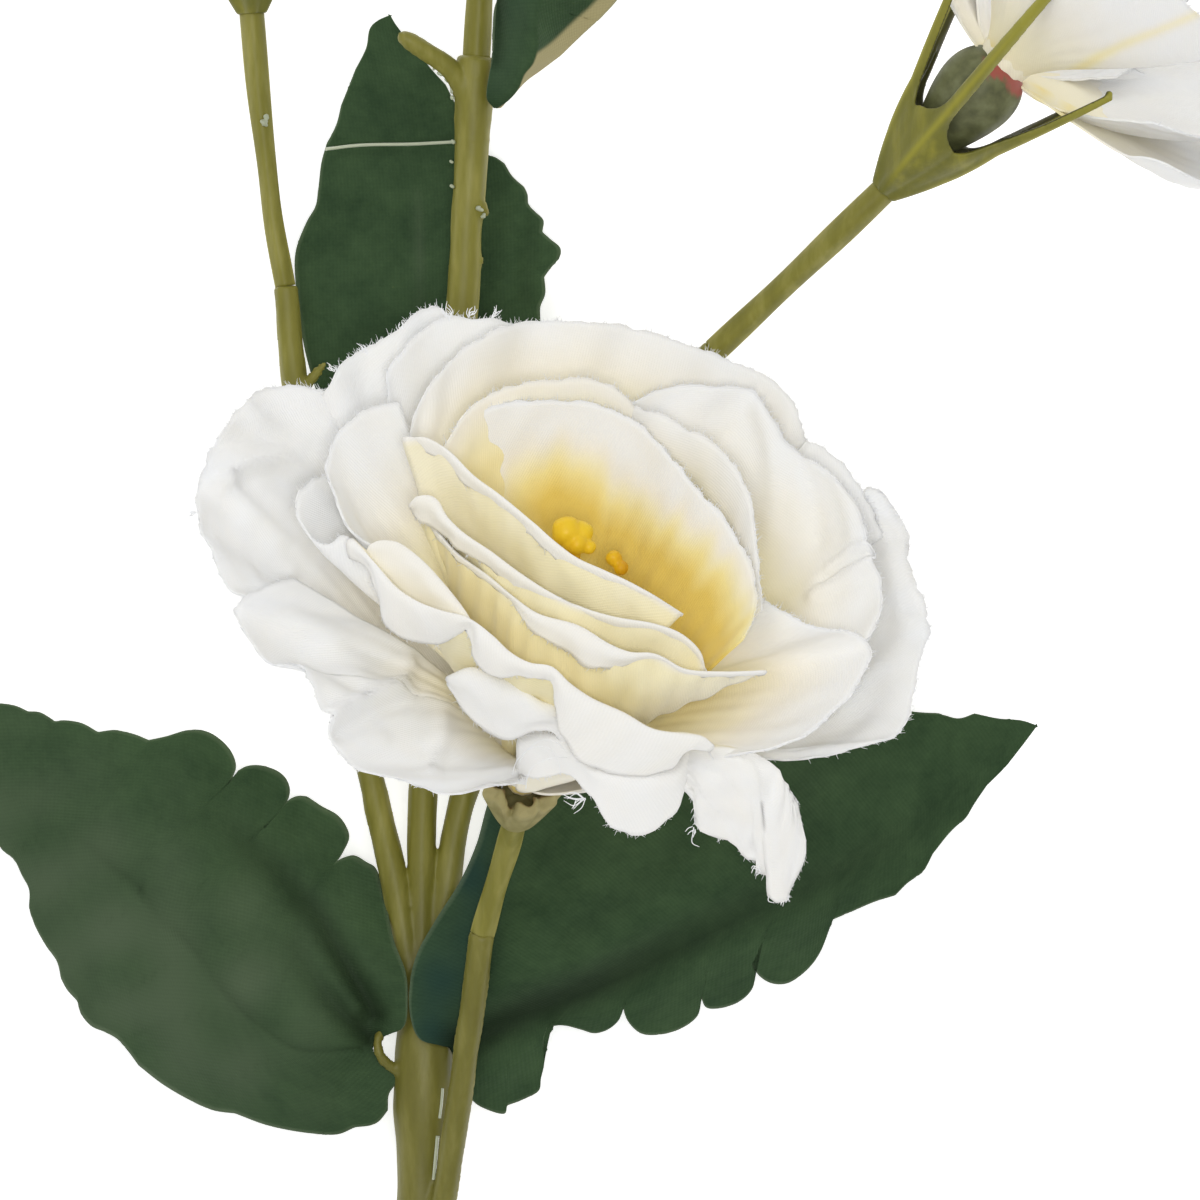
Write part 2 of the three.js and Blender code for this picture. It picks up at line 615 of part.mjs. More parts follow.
const routes = {
  trunk: [[42.5, cutEndY, 1.9], [42, -60, 3.5], [42, -30, 5.5], [41.8, -10, 7.5], [42, 4, 8.6],
    nodeCentre, [42.2, 24, 9]],
  centre: [nodeCentre, [42.2, 24, 9], [42.2, 40, 9], [43.6, 60, 9], [45.3, 78, 9.2], [46.2, 90, 9.3],
    [46.8, 100, 9.5], topJoint],
  left: [nodeCentre, [40.9, 23, 9], [39.5, 31, 9], [37.5, 40, 8.5], [34, 58, 8], [31, 72, 8],
    [29.3, 81.6, 7.8], leftJoint],
  right: [nodeCentre, [44, 27, 9], [46.5, 41, 9], [54, 59, 9.5], [62, 74, 11.5], [66.6, 80, 13],
    rightJoint],
  bloom: [[42, -14, 7.6], [43.3, -5, 9.4], [44, 0, 10.8], [45.4, 10, 13.6], [46.5, 18, 15.8],
    bloomJoint],
  stub: [[46.9, 108.5, 9.8], [44.2, 113, 11], [40.2, 117, 12.8]],
  thorn: [[29.4, 80.8, 8], [30.7, 82.4, 8.8], [31.6, 83.6, 9.6]],
  bloomStalk: [bloomJoint, [48.8, 30.6, 19.1], [50.6, 35.2, 20.4], mainBloomFoot],
  leftStalk: [leftJoint, [27.5, 101.3, 7.1], [26.2, 110.5, 6.3], leftBudFoot],
  rightStalk: [rightJoint, [76.2, 89.4, 16.8], [81.5, 94.4, 20], [85.5, 98.2, 22.2], sideBloomFoot],
  topStalk: [topJoint, [48, 122, 9.8], [48.6, 130, 10.2], topBudFoot],
};
const route = (name) => smooth(routes[name].map(vector));

function collar(name, at, radius, length) {
  const curve = route(name);
  const half = length / 2 / curve.getLength();
  const spine = new THREE.LineCurve3(curve.getPointAt(at - half), curve.getPointAt(at + half));
  return tube(spine, () => radius, 8, 1);
}

// The moulding, grown by a clearance where it cuts room in a leaf.
function mouldedStem(clearance) {
  const nodePlace = 0.9;
  const nodeSpread = 0.08;
  const swell = (t) => (nodeRadius - trunkRadius) * Math.exp(-(((t - nodePlace) / nodeSpread) ** 2));
  const trunkEnd = (t) => 0.7 * Math.max(0, (t - 0.92) / nodeSpread);
  const grown = (name, radiusAt, sides, steps) => tube(
    route(name),
    (t) => radiusAt(t) + clearance,
    sides,
    steps,
  );
  const ring = (name, at, radius, length) => collar(name, at, radius + clearance, length + 2 * clearance);
  return join([
    grown('trunk', (t) => trunkRadius + swell(t) - trunkEnd(t), 10, 12),
    grown('centre', (t) => branchRadius + 0.65 * Math.sin(Math.PI * t) ** 2, 8, 8),
    ...['left', 'right', 'bloom'].map((name) => grown(name, (t) => branchRadius - 0.1 * t, 8, 7)),
    grown('stub', (t) => 1.35 * Math.sqrt(1.02 - t ** 6), 8, 3),
    grown('thorn', (t) => 0.7 - 0.45 * t, 6, 2),
    ring('centre', 0.957, 1.9, 1.4),
    ring('centre', 0.927, 2.2, 1),
    ring('left', 0.985, 1.7, 1.4),
    ring('bloom', 0.97, 1.65, 1.2),
    ring('right', 0.985, 1.6, 1.2),
  ]);
}

// A stalk from a joint to a foot, with a gap at the joint.
function stalk(name, footRadius) {
  const whole = route(name);
  const start = seatGap / whole.getLength();
  const points = Array.from({ length: 9 }, (_, i) => whole.getPointAt(start + (1 - start) * (i / 8)));
  return join([tube(smooth(points), (t) => stalkRadius + (footRadius - stalkRadius) * t, 8, 8)]);
}

// ---------- The spray ----------

const spray = new THREE.Group();

// The table is the plane z = 0: what dips under it is trimmed to a small flat to rest on.
const tableSpan = 400;
const tableDepth = 20;
const table = solidOf(new THREE.BoxGeometry(tableSpan, tableSpan, tableDepth)
  .translate(0, 0, -tableDepth / 2));
const trimmedToTable = (solid) => solid.subtract(table);

function addPiece(name, solid, color, roughness) {
  const geometry = geometryOf(trimmedToTable(solid));
  geometry.computeVertexNormals();
  const mesh = new THREE.Mesh(geometry, new THREE.MeshStandardMaterial({ color, roughness, metalness: 0 }));
  mesh.name = name;
  spray.add(mesh);
}

const budFrame = (foot, heading) => bloomFrame({
  foot,
  heading,
  rise: 0,
  rootRadius: 1.5,
  rootHeight: calyxHeight + seatGap,
});
const leftBud = budFrame(leftBudFoot, 93);
const topBud = budFrame(topBudFoot, 90);

const mainPistilRoute = [[1.6, 9.2, 13.2], [3.6, 18, 23], [6.3, 28, 33.5]];
const mainPistilLobes = [[[5.6, 28.7, 34], 1.3], [[7.4, 27.2, 34], 1.4], [[9.6, 26, 33], 1.2]];

const budStrapLength = 15;
const openStraps = [[198, 23], [270, 24], [342, 23], [30, 11.5], [150, 11.5]];
const budStraps = openStraps.map(([turn]) => [turn, budStrapLength]);

const roomForStems = mouldedStem(seatGap);
const leaf = (outline) => solidOf(leafBlade(outline)).subtract(roomForStems);

addPiece('stem', mouldedStem(0), stemOlive, 0.55);
addPiece('main_bloom_stalk', stalk('bloomStalk', calyxFootRadius), stemOlive, 0.55);
addPiece('side_bloom_stalk', stalk('rightStalk', calyxFootRadius), stemOlive, 0.55);
addPiece('left_bud_stalk', stalk('leftStalk', 1.2), stemOlive, 0.55);
addPiece('top_bud_stalk', stalk('topStalk', 1.25), stemOlive, 0.55);

addPiece('main_bloom_calyx', calyx(mainBloom, []), calyxBrown, 0.7);
addPiece('main_bloom_petals', mainBloomPetals(), ivory, 0.9);
addPiece('main_bloom_pistil', pistil(mainBloom, mainPistilRoute, mainPistilLobes), stigmaYellow, 0.6);

addPiece('side_bloom_calyx', calyx(sideBloom, openStraps), sepalOlive, 0.6);
addPiece('side_bloom_seat', seat(sideBloom), seatOlive, 0.6);
addPiece('side_bloom_petals', sideBloomPetals(), ivory, 0.9);

addPiece('left_bud_calyx', calyx(leftBud, budStraps), sepalOlive, 0.6);
addPiece('left_bud_petals', budPetals(leftBud, leftBudRadius, leftBudLength), ivory, 0.9);
addPiece('top_bud_calyx', calyx(topBud, budStraps), sepalOlive, 0.6);
addPiece('top_bud_petals', budPetals(topBud, topBudRadius, topBudLength), ivory, 0.9);

addPiece('lower_left_leaf', leaf(lowerLeftLeaf), leafGreen, 0.85);
addPiece('lower_right_leaf', leaf(lowerRightLeaf), leafGreen, 0.85);
addPiece('upper_back_leaf', leaf(upperBackLeaf), leafGreen, 0.85);
addPiece('upper_right_leaf', leaf(upperRightLeaf), leafGreen, 0.85);

// The origin is the middle of the outline on the table.
const bounds = new THREE.Box3().setFromObject(spray);
const middle = bounds.getCenter(new THREE.Vector3());
spray.position.set(-middle.x, -middle.y, -bounds.min.z);

export default spray;
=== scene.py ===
# Artificial lisianthus spray: woven polyester petals and leaves on moulded polyethylene stems.
# Places are in mm on the plan seen from straight above, as in the part's source, and go to metres last.
import bpy
import math
import numpy as np
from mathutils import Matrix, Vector


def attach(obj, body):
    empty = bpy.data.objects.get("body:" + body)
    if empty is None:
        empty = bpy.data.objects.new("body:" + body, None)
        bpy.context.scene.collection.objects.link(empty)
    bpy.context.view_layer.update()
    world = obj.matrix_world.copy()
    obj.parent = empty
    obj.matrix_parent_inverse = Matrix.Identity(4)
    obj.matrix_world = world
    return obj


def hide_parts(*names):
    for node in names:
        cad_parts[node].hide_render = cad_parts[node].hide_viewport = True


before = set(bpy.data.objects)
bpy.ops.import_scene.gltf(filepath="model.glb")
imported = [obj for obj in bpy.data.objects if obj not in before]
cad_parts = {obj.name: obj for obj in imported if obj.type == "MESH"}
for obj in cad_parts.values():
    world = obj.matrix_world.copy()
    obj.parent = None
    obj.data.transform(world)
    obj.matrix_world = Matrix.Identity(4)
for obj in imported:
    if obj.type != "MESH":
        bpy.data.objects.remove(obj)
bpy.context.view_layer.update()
print("frame loaded:", len(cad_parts), "nodes")

planShift = np.array([-59.073, -36.591, 0.0])  # from the plan to the part's own origin
tableHeight = 0.12  # the least height above the table of a sheet or a hair
seatGap = 0.3
calyxHeight = 5.0
sideSeatHeight = 13.0
sepalHalfAngle = math.radians(22.6)

places = {
    "mainBloomFoot": (51.5, 38, 23),
    "sideBloomFoot": (88.4, 101, 23),
    "leftBudFoot": (25, 119, 5.55),
    "topBudFoot": (49, 137, 10.5),
    "node": (42.3, 14, 9.2),
    "leftJoint": (28.4, 91.5, 7.5),
    "rightJoint": (71.5, 85, 14.8),
    "bloomJoint": (48.2, 26.5, 18),
    "topJoint": (47.6, 114.5, 9.7),
}


# small helpers

def unit(vectors):
    vectors = np.asarray(vectors, float)
    return vectors / np.maximum(np.linalg.norm(vectors, axis=-1, keepdims=True), 1e-9)


def smoothStep(low, high, x):
    t = np.clip((np.asarray(x, float) - low) / (high - low), 0, 1)
    return t * t * (3 - 2 * t)


def window(low, full, falling, gone, x):
    return smoothStep(low, full, x) * (1 - smoothStep(falling, gone, x))


def toRow(points):
    return (np.asarray(points, float) + planShift) / 1000


def raised(points):
    # points of the plan that have no height get height 0
    return [(*point, 0) if len(point) == 2 else point for point in points]


def lengthsAlong(points):
    return np.concatenate([[0], np.cumsum(np.linalg.norm(np.diff(points, axis=0), axis=1))])


def curveLine(points):
    # a centripetal Catmull-Rom curve through the points, with the same number of steps in each span
    perSpan = 24
    p = np.asarray(points, float)
    p = np.vstack([2 * p[0] - p[1], p, 2 * p[-1] - p[-2]])
    gaps = np.maximum(np.linalg.norm(np.diff(p, axis=0), axis=1) ** 0.5, 1e-6)
    t = np.linspace(0, 1, perSpan, endpoint=False)[:, None]
    line = []
    for i in range(len(p) - 3):
        a, b, c, d = p[i:i + 4]
        before, here, after = gaps[i:i + 3]
        leave = here * ((b - a) / before - (c - a) / (before + here) + (c - b) / here)
        arrive = here * ((c - b) / here - (d - b) / (here + after) + (d - c) / after)
        line.append(b + leave * t + (3 * (c - b) - 2 * leave - arrive) * t ** 2
                    + (2 * (b - c) + leave + arrive) * t ** 3)
    return np.vstack(line + [p[-2:-1]])


def atLengths(line, along, steps):
    return np.stack([np.interp(steps, along, line[:, k]) for k in range(3)], axis=1)


def evenly(line, count):
    along = lengthsAlong(line)
    return atLengths(line, along, np.linspace(0, along[-1], count))


def smoothCurve(points, count):
    return evenly(curveLine(points), count)


def matchedCurves(lines, count):
    # curves with the same number of points, taken at the same steps so that their points stay matched
    lines = [curveLine(points) for points in lines]
    along = lengthsAlong(np.mean(lines, axis=0))
    steps = np.linspace(0, along[-1], count)
    return [atLengths(line, along, steps) for line in lines]


def bezier(start, leave, arrive, end, v):
    return start * (1 - v) ** 3 + 3 * leave * v * (1 - v) ** 2 + 3 * arrive * v ** 2 * (1 - v) + end * v ** 3


def alongPetal(value, u):
    # one value for the whole petal, or several from its first side to its last
    return np.interp(u, np.linspace(0, 1, len(value)), value) if isinstance(value, tuple) else value + 0 * u


def ripple(x, y, wavelengths, seed):
    # a soft random relief of seven crossing waves, about -1 to 1
    random = np.random.default_rng(seed)
    total = np.zeros(np.broadcast(x, y).shape)
    for _ in range(7):
        heading = random.uniform(0, math.tau)
        wave = math.tau / random.uniform(*wavelengths)
        shift = random.uniform(0, math.tau)
        total = total + np.sin(wave * (x * math.cos(heading) + y * math.sin(heading)) + shift)
    return total / 7 ** 0.5


def distanceTo(line, places):
    # how far places are from a line on the plan, and how far along it the nearest point is, from 0 to 1
    steps = 120
    line = smoothCurve([(*point[:2], 0) for point in line], steps)
    flat = np.asarray(places)[..., :2]
    nearest = np.full(flat.shape[:-1], np.inf)
    along = np.zeros(flat.shape[:-1])
    for k, point in enumerate(line):
        away = np.hypot(flat[..., 0] - point[0], flat[..., 1] - point[1])
        along = np.where(away < nearest, k / (steps - 1), along)
        nearest = np.minimum(away, nearest)
    return nearest, along


def creaseLift(creases, grid):
    # the lift of creases and the shade painted along the sunken ones, each (line on the plan, breadth, depth
    # at its start and end)
    lift = np.zeros(grid.shape[:-1])
    shade = np.zeros(grid.shape[:-1])
    for line, breadth, first, last in creases:
        away, along = distanceTo(line, grid)
        depth = first + (last - first) * along
        band = np.exp(-(away / breadth) ** 2)
        lift = lift + depth * band
        shade = np.maximum(shade, np.clip(-0.45 * depth, 0, 0.8) * band)
    return lift, shade


def gridFaces(rows, columns, closed=False):
    row, column = np.meshgrid(np.arange(rows - 1), np.arange(columns - (not closed)), indexing="ij")
    a = row * columns + column
    b = row * columns + (column + 1) % columns
    return np.stack([a, b, b + columns, a + columns], axis=-1).reshape(-1, 4)


def makePiece(name, node, look, corners, faces, attributes, flatFaces=()):
    # one mesh that takes a node's place; a look is a material and a slot name, and the slot name is not used
    mesh = bpy.data.meshes.new(name)
    mesh.from_pydata(toRow(corners).tolist(), [], faces)
    smooth = np.ones(len(mesh.polygons), bool)
    smooth[list(flatFaces)] = False
    mesh.polygons.foreach_set("use_smooth", smooth)
    for key, values in attributes.items():
        values = np.asarray(values, np.float32)
        kind, field = ("FLOAT_VECTOR", "vector") if values.ndim == 2 else ("FLOAT", "value")
        mesh.attributes.new(key, kind, "POINT").data.foreach_set(field, values.ravel())
    material, slot = look
    mesh.materials.append(material)
    mesh.validate()
    piece = bpy.data.objects.new(name, mesh)
    bpy.context.scene.collection.objects.link(piece)
    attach(piece, "root")
    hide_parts(node)


def flatPlaces(grid, turn):
    # where each point lies on the flat cloth, in mm, turned so that the threads run along x and y
    down = np.cumsum(np.linalg.norm(np.diff(grid, axis=0, prepend=grid[:1]), axis=2), axis=0)
    beside = np.cumsum(np.linalg.norm(np.diff(grid, axis=1, prepend=grid[:, :1]), axis=2), axis=1)
    beside = beside - beside[:, beside.shape[1] // 2][:, None]
    down = np.broadcast_to(down[:, down.shape[1] // 2][:, None], beside.shape)
    c, s = math.cos(math.radians(turn)), math.sin(math.radians(turn))
    return np.stack([c * beside - s * down, s * beside + c * down, np.zeros_like(down)], axis=-1)


def surfaceNormals(grid):
    return unit(np.cross(np.gradient(grid, axis=0), np.gradient(grid, axis=1)))


def sheetSkin(grid, thickness):
    # a thin closed shell on a grid of points: two faces and a wall round its edge
    half = surfaceNormals(grid) * thickness / 2
    corners = np.concatenate([(grid + half).reshape(-1, 3), (grid - half).reshape(-1, 3)])
    rows, columns = grid.shape[:2]
    far = rows * columns
    order = np.arange(far).reshape(rows, columns)
    edge = np.concatenate([order[0], order[1:, -1], order[-1, -2::-1], order[-2:0:-1, 0]])
    after = np.roll(edge, -1)
    walls = np.stack([edge, edge + far, after + far, after], axis=-1)
    quads = gridFaces(rows, columns)
    return corners, np.concatenate([quads[:, ::-1], quads + far, walls[:, ::-1]]).tolist()


def sheetPiece(name, node, look, grid, thickness, attributes, thread):
    # a sheet of cloth above the table, whose threads are turned by the last number, in degrees
    grid = grid.copy()
    grid[..., 2] = np.maximum(grid[..., 2], tableHeight + thickness / 2)
    rows, columns = grid.shape[:2]
    values = {key: np.tile(np.broadcast_to(value, (rows, columns)).ravel(), 2)
              for key, value in attributes.items()}
    values["weave"] = np.tile(flatPlaces(grid, thread).reshape(-1, 3), (2, 1))
    corners, faces = sheetSkin(grid, thickness)
    makePiece(name, node, look, corners, faces, values, range(2 * (rows - 1) * (columns - 1), len(faces)))


def tube(path, radii, sides):
    # rings about a path; the radii may differ round each ring, counted from its right-hand side
    path = np.asarray(path, float)
    tangents = unit(np.gradient(path, axis=0))
    lateral = np.cross(tangents, [0, 0, 1])
    lateral[np.linalg.norm(lateral, axis=1) < 0.05] = [1, 0, 0]
    lateral = unit(lateral - tangents * np.sum(lateral * tangents, axis=1, keepdims=True))
    upper = np.cross(lateral, tangents)
    angles = np.linspace(0, math.tau, sides, endpoint=False)[:, None]
    radii = np.broadcast_to(np.asarray(radii, float).reshape(len(path), -1), (len(path), sides))
    rings = np.cos(angles) * lateral[:, None] + np.sin(angles) * upper[:, None]
    corners = (path[:, None] + radii[..., None] * rings).reshape(-1, 3)
    ends = [list(range(sides))[::-1], list(range(len(corners) - sides, len(corners)))]
    return corners, gridFaces(len(path), sides, closed=True).tolist() + ends


def ball(centre, radius, rings=8, sides=12):
    turn = np.linspace(0.02, math.pi - 0.02, rings)
    path = np.asarray(centre, float) + np.stack([0 * turn, -radius * np.cos(turn), 0 * turn], axis=1)
    return tube(path, radius * np.sin(turn), sides)


def joined(parts):
    # corners and faces of several closed surfaces as one list each
    corners, faces, offset = [], [], 0
    for partCorners, partFaces in parts:
        corners.append(partCorners)
        faces += [[k + offset for k in face] for face in partFaces]
        offset += len(partCorners)
    return np.concatenate(corners), faces


def fusedSkin(parts, voxel, rounding):
    # joins closed surfaces into one skin, as one moulding, and rounds the corners where they meet
    corners, faces = joined(parts)
    mesh = bpy.data.meshes.new("raw")
    mesh.from_pydata((corners / 1000).tolist(), [], faces)
    raw = bpy.data.objects.new("raw", mesh)
    bpy.context.scene.collection.objects.link(raw)
    remesh = raw.modifiers.new("fuse", "REMESH")
    remesh.mode = "VOXEL"
    remesh.voxel_size = voxel / 1000
    soften = raw.modifiers.new("soften", "SMOOTH")
    soften.iterations = rounding
    soften.factor = 0.5
    skin = bpy.data.meshes.new_from_object(raw.evaluated_get(bpy.context.evaluated_depsgraph_get()))
    points = np.zeros(3 * len(skin.vertices))
    normals = np.zeros(3 * len(skin.vertices))
    skin.vertices.foreach_get("co", points)
    skin.vertices.foreach_get("normal", normals)
    skinFaces = [list(polygon.vertices) for polygon in skin.polygons]
    bpy.data.objects.remove(raw)
    bpy.data.meshes.remove(mesh)
    bpy.data.meshes.remove(skin)
    return points.reshape(-1, 3) * 1000, normals.reshape(-1, 3), skinFaces


def roughened(points, normals, depth, wavelengths, seed):
    return points + normals * depth * ripple(points[:, 0], points[:, 1], wavelengths, seed)[:, None]


# materials

def linear(hexColour):
    parts = [int(hexColour[i:i + 2], 16) / 255 for i in (1, 3, 5)]
    return [c / 12.92 if c <= 0.04045 else ((c + 0.055) / 1.055) ** 2.4 for c in parts] + [1.0]


def addNode(material, kind, output, settings, links):
    # adds one node and gives back one of its outputs
    node = material.node_tree.nodes.new("ShaderNode" + kind)
    for key, value in settings.items():
        if isinstance(key, str) and hasattr(node, key):
            setattr(node, key, value)
        else:
            node.inputs[key].default_value = value
    for key, source in links.items():
        material.node_tree.links.new(source, node.inputs[key])
    return node.outputs[output]


def newMaterial(name, settings):
    # an empty material with its shader, which takes the plain numbers
    material = bpy.data.materials.new(name)
    material.use_nodes = True
    material.node_tree.nodes.clear()
    surface = addNode(material, "BsdfPrincipled", 0, settings, {})
    end = material.node_tree.nodes.new("ShaderNodeOutputMaterial")
    material.node_tree.links.new(surface, end.inputs["Surface"])
    return material, surface.node


def addAttribute(material, name, output="Fac"):
    return addNode(material, "Attribute", output, {"attribute_name": name}, {})


def addRamp(material, source, stops):
    colour = addNode(material, "ValToRGB", "Color", {}, {"Fac": source})
    ramp = colour.node.color_ramp
    while len(ramp.elements) < len(stops):
        ramp.elements.new(0.5)
    for element, (place, tone) in zip(ramp.elements, stops):
        element.position = place
        element.color = linear(tone)
    return colour


def addTint(material, base, name, tint):
    # mixes a tint in by the attribute of that name
    return addNode(material, "Mix", 2, {"data_type": "RGBA", 7: linear(tint)},
                   {0: addAttribute(material, name), 6: base})


def finishMaterial(material, shader, colour, height, strength, depth):
    # the colour, and a bump whose depth is in mm
    bump = addNode(material, "Bump", "Normal", {"Strength": strength, "Distance": depth / 1000},
                   {"Height": height})
    material.node_tree.links.new(colour, shader.inputs["Base Color"])
    material.node_tree.links.new(bump, shader.inputs["Normal"])
    return material


def finishCloth(material, shader, colour, weave, cloth):
    # ribs of warp and weft stand out as a bump; the colour is darkened in the grooves between them (painted
    # shade) and lightened on the ridges where the ridge tone is over 1 (painted highlight)
    split = addNode(material, "SeparateXYZ", "X", {}, {"Vector": weave}).node
    turns = {"operation": "MULTIPLY", 1: math.tau / cloth["threadSpacing"]}
    waves = []
    for axis in ("X", "Y"):
        scaled = addNode(material, "Math", 0, turns, {0: split.outputs[axis]})
        waves.append(addNode(material, "Math", 0, {"operation": "SINE"}, {0: scaled}))
    height = addNode(material, "Math", 0, {"operation": "MULTIPLY_ADD", 1: cloth["weft"]},
                     {0: waves[1], 2: waves[0]})
    groove = addNode(material, "MapRange", "Result", {
        "From Min": -cloth["relief"],
        "From Max": cloth["relief"],
        "To Min": cloth["paintedGrooveShade"],
        "To Max": cloth["paintedRidgeLight"],
    }, {"Value": height})
    threads = addNode(material, "Mix", 2, {"data_type": "RGBA", "blend_type": "MULTIPLY", "Factor": 1.0},
                      {6: colour, 7: groove})
    return finishMaterial(material, shader, threads, height, 0.5, cloth["threadHeight"])


petalCloth = {
    "threadSpacing": 0.26,  # mm; the real cloth has about 0.18, too fine to show in the render
    "threadHeight": 0.014,  # mm
    "weft": 0.35,  # height of the cross threads beside the ribs
    "relief": 1.3,
    "paintedGrooveShade": 0.97,
    "paintedRidgeLight": 1.0,
    "shades": [(0.0, "#f3f4f5"), (0.2, "#f5f0e3"), (0.4, "#f7eec8"), (0.65, "#f6e59e"), (1.0, "#e9cc68")],
    "cloud": 0.16,  # how much of the scale of shades the cloth wanders over
}
leafCloth = {
    "threadSpacing": 0.36,  # mm; coarser than the real 0.2, so that it shows
    "threadHeight": 0.02,
    "weft": 0.6,
    "relief": 1.6,
    "paintedGrooveShade": 0.94,
    "paintedRidgeLight": 1.03,
    "green": "#3e5536",
    "deepTone_and_paintedShade": "#293f26",
    # the teal and shadow tints are painted shade
    "tints": {"grey": "#4a5a42", "tealShade": "#1f3a30", "khaki": "#a39a70", "shadow": "#162313",
              "cutEdge": "#93a383"},
}


def makePetalCloth():
    # polyester satin, woven, dyed from the root and heat-pressed: soft, matt and slightly translucent,
    # with fine ribs where the light grazes it
    material, shader = newMaterial("heat_pressed_polyester_satin", {
        "Roughness": 0.78,
        "IOR": 1.5,
        "Specular IOR Level": 0.25,
        "Sheen Weight": 0.25,
        "Sheen Roughness": 0.45,
        "Subsurface Weight": 0.05,
        "Subsurface Scale": 0.0005,
        "Subsurface Radius": (1.0, 0.9, 0.7),
    })
    weave = addAttribute(material, "weave", "Vector")
    cloud = petalCloth["cloud"]
    noise = addNode(material, "TexNoise", "Fac", {"Scale": 0.16, "Detail": 3.0}, {"Vector": weave})
    cloudy = addNode(material, "Math", 0, {"operation": "MULTIPLY_ADD", 1: cloud, 2: -cloud / 2}, {0: noise})
    shade = addNode(material, "Math", 0, {"operation": "ADD", "use_clamp": True},
                    {0: addAttribute(material, "warmth"), 1: cloudy})
    colour = addRamp(material, shade, petalCloth["shades"])
    return finishCloth(material, shader, colour, weave, petalCloth)


def makeLeafCloth():
    # woven polyester, dyed through and pressed: a matt green with a faint thread and greyer patches
    material, shader = newMaterial("dyed_woven_polyester", {
        "Roughness": 0.7,
        "IOR": 1.5,
        "Specular IOR Level": 0.14,
    })
    weave = addAttribute(material, "weave", "Vector")
    patches = addNode(material, "TexNoise", "Fac", {"Scale": 0.12, "Detail": 7.0, "Roughness": 0.75},
                      {"Vector": weave})
    patchy = addNode(material, "MapRange", "Result", {"From Min": 0.35, "From Max": 0.7}, {"Value": patches})
    greens = {6: linear(leafCloth["deepTone_and_paintedShade"]), 7: linear(leafCloth["green"])}
    colour = addNode(material, "Mix", 2, {"data_type": "RGBA", **greens}, {0: patchy})
    for name, tint in leafCloth["tints"].items():
        colour = addTint(material, colour, name, tint)
    return finishCloth(material, shader, colour, weave, leafCloth)


def makeMouldedPlastic(name, base, dark, light, paintedShadeColour, roughness, subsurface):
    # low-density polyethylene, coloured in the mass and injection moulded: satin, slightly waxy, with
    # streaks from the flow and a paler flash line where the mould parts, and painted shade in its shade
    # colour where a piece marks it
    material, shader = newMaterial(name, {
        "Roughness": roughness,
        "IOR": 1.51,
        "Specular IOR Level": 0.3,
        "Subsurface Weight": subsurface,
        "Subsurface Scale": 0.0008,
        "Subsurface Radius": (1.0, 0.9, 0.4),
    })
    place = addNode(material, "TexCoord", "Object", {}, {})
    inMillimetres = addNode(material, "Mapping", 0, {"Scale": (1000, 1000, 1000)}, {"Vector": place})
    streaks = addNode(material, "Mapping", 0, {"Scale": (0.5, 0.09, 0.5)}, {"Vector": inMillimetres})
    flow = addNode(material, "TexNoise", "Fac", {"Scale": 1.0, "Detail": 4.0, "Roughness": 0.55},
                   {"Vector": streaks})
    colour = addRamp(material, flow, [(0.2, dark), (0.5, base), (0.9, light)])
    colour = addTint(material, colour, "pale", light)
    # painted shade, where a piece marks it
    colour = addTint(material, colour, "deepTone_and_paintedShade", paintedShadeColour)
    grain = addNode(material, "TexNoise", "Fac", {"Scale": 2.2, "Detail": 3.0}, {"Vector": inMillimetres})
    return finishMaterial(material, shader, colour, grain, 0.35, 0.08)


def makeSeatPlastic():
    material, shader = newMaterial("dyed_polyethylene_seat", {"Roughness": 0.55, "IOR": 1.51})
    place = addNode(material, "TexCoord", "Object", {}, {})
    noise = addNode(material, "TexNoise", "Fac", {"Scale": 600.0, "Detail": 4.0}, {"Vector": place})
    colour = addRamp(material, noise, [(0.3, "#4c4f2e"), (0.5, "#62653f"), (0.75, "#777b55")])
    colour = addTint(material, colour, "stain", "#a04f45")
    material.node_tree.links.new(colour, shader.inputs["Base Color"])
    return material


# Base, dark and light colours, the colour of painted shade, roughness and subsurface weight.
plastics = {
    "olive": ("#7b772f", "#6a6624", "#a09a55", "#35331a", 0.46, 0.1),
    "sepal": ("#716f2c", "#5c5e26", "#9a9538", "#34351a", 0.44, 0.12),
    "calyx": ("#8c8555", "#786b41", "#a59b6c", "#664a22", 0.6, 0.1),
    "yellow": ("#dfae12", "#c48a08", "#ecc92c", "#8f8a1c", 0.4, 0.2),
}
hotMelt = {"Base Color": linear("#c4cbb0"), "Roughness": 0.3, "IOR": 1.48, "Transmission Weight": 0.35}
petalLook = (makePetalCloth(), "petal_fabric")
leafLook = (makeLeafCloth(), "leaf_fabric")
stemLook = (makeMouldedPlastic("moulded_polyethylene_olive", *plastics["olive"]), "stem_plastic")
sepalLook = (makeMouldedPlastic("moulded_polyethylene_sepal", *plastics["sepal"]), "sepal_plastic")
tornLook = (makeMouldedPlastic("brittle_polyethylene_calyx", *plastics["calyx"]), "calyx_plastic")
glueLook = (newMaterial("hot_melt_glue", hotMelt)[0], "stem_plastic")
seatLook = (makeSeatPlastic(), "seat_plastic")
pistilLook = (makeMouldedPlastic("moulded_polyethylene_yellow", *plastics["yellow"]), "pistil_plastic")
print("materials made")


# blooms

def bloomFrame(foot, heading, rise, rootRadius, rootHeight):
    level, steep = math.radians(heading), math.radians(rise)
    axis = np.array([math.cos(steep) * math.cos(level), math.cos(steep) * math.sin(level), math.sin(steep)])
    right = np.array([math.sin(level), -math.cos(level), 0])
    return {"foot": np.array(foot, float), "axis": axis, "right": right, "under": np.cross(axis, right),
            "rootRadius": rootRadius, "rootHeight": rootHeight}


def outward(bloom, turn):
    turn = np.radians(np.asarray(turn, float))[..., None]
    return np.cos(turn) * bloom["right"] + np.sin(turn) * bloom["under"]


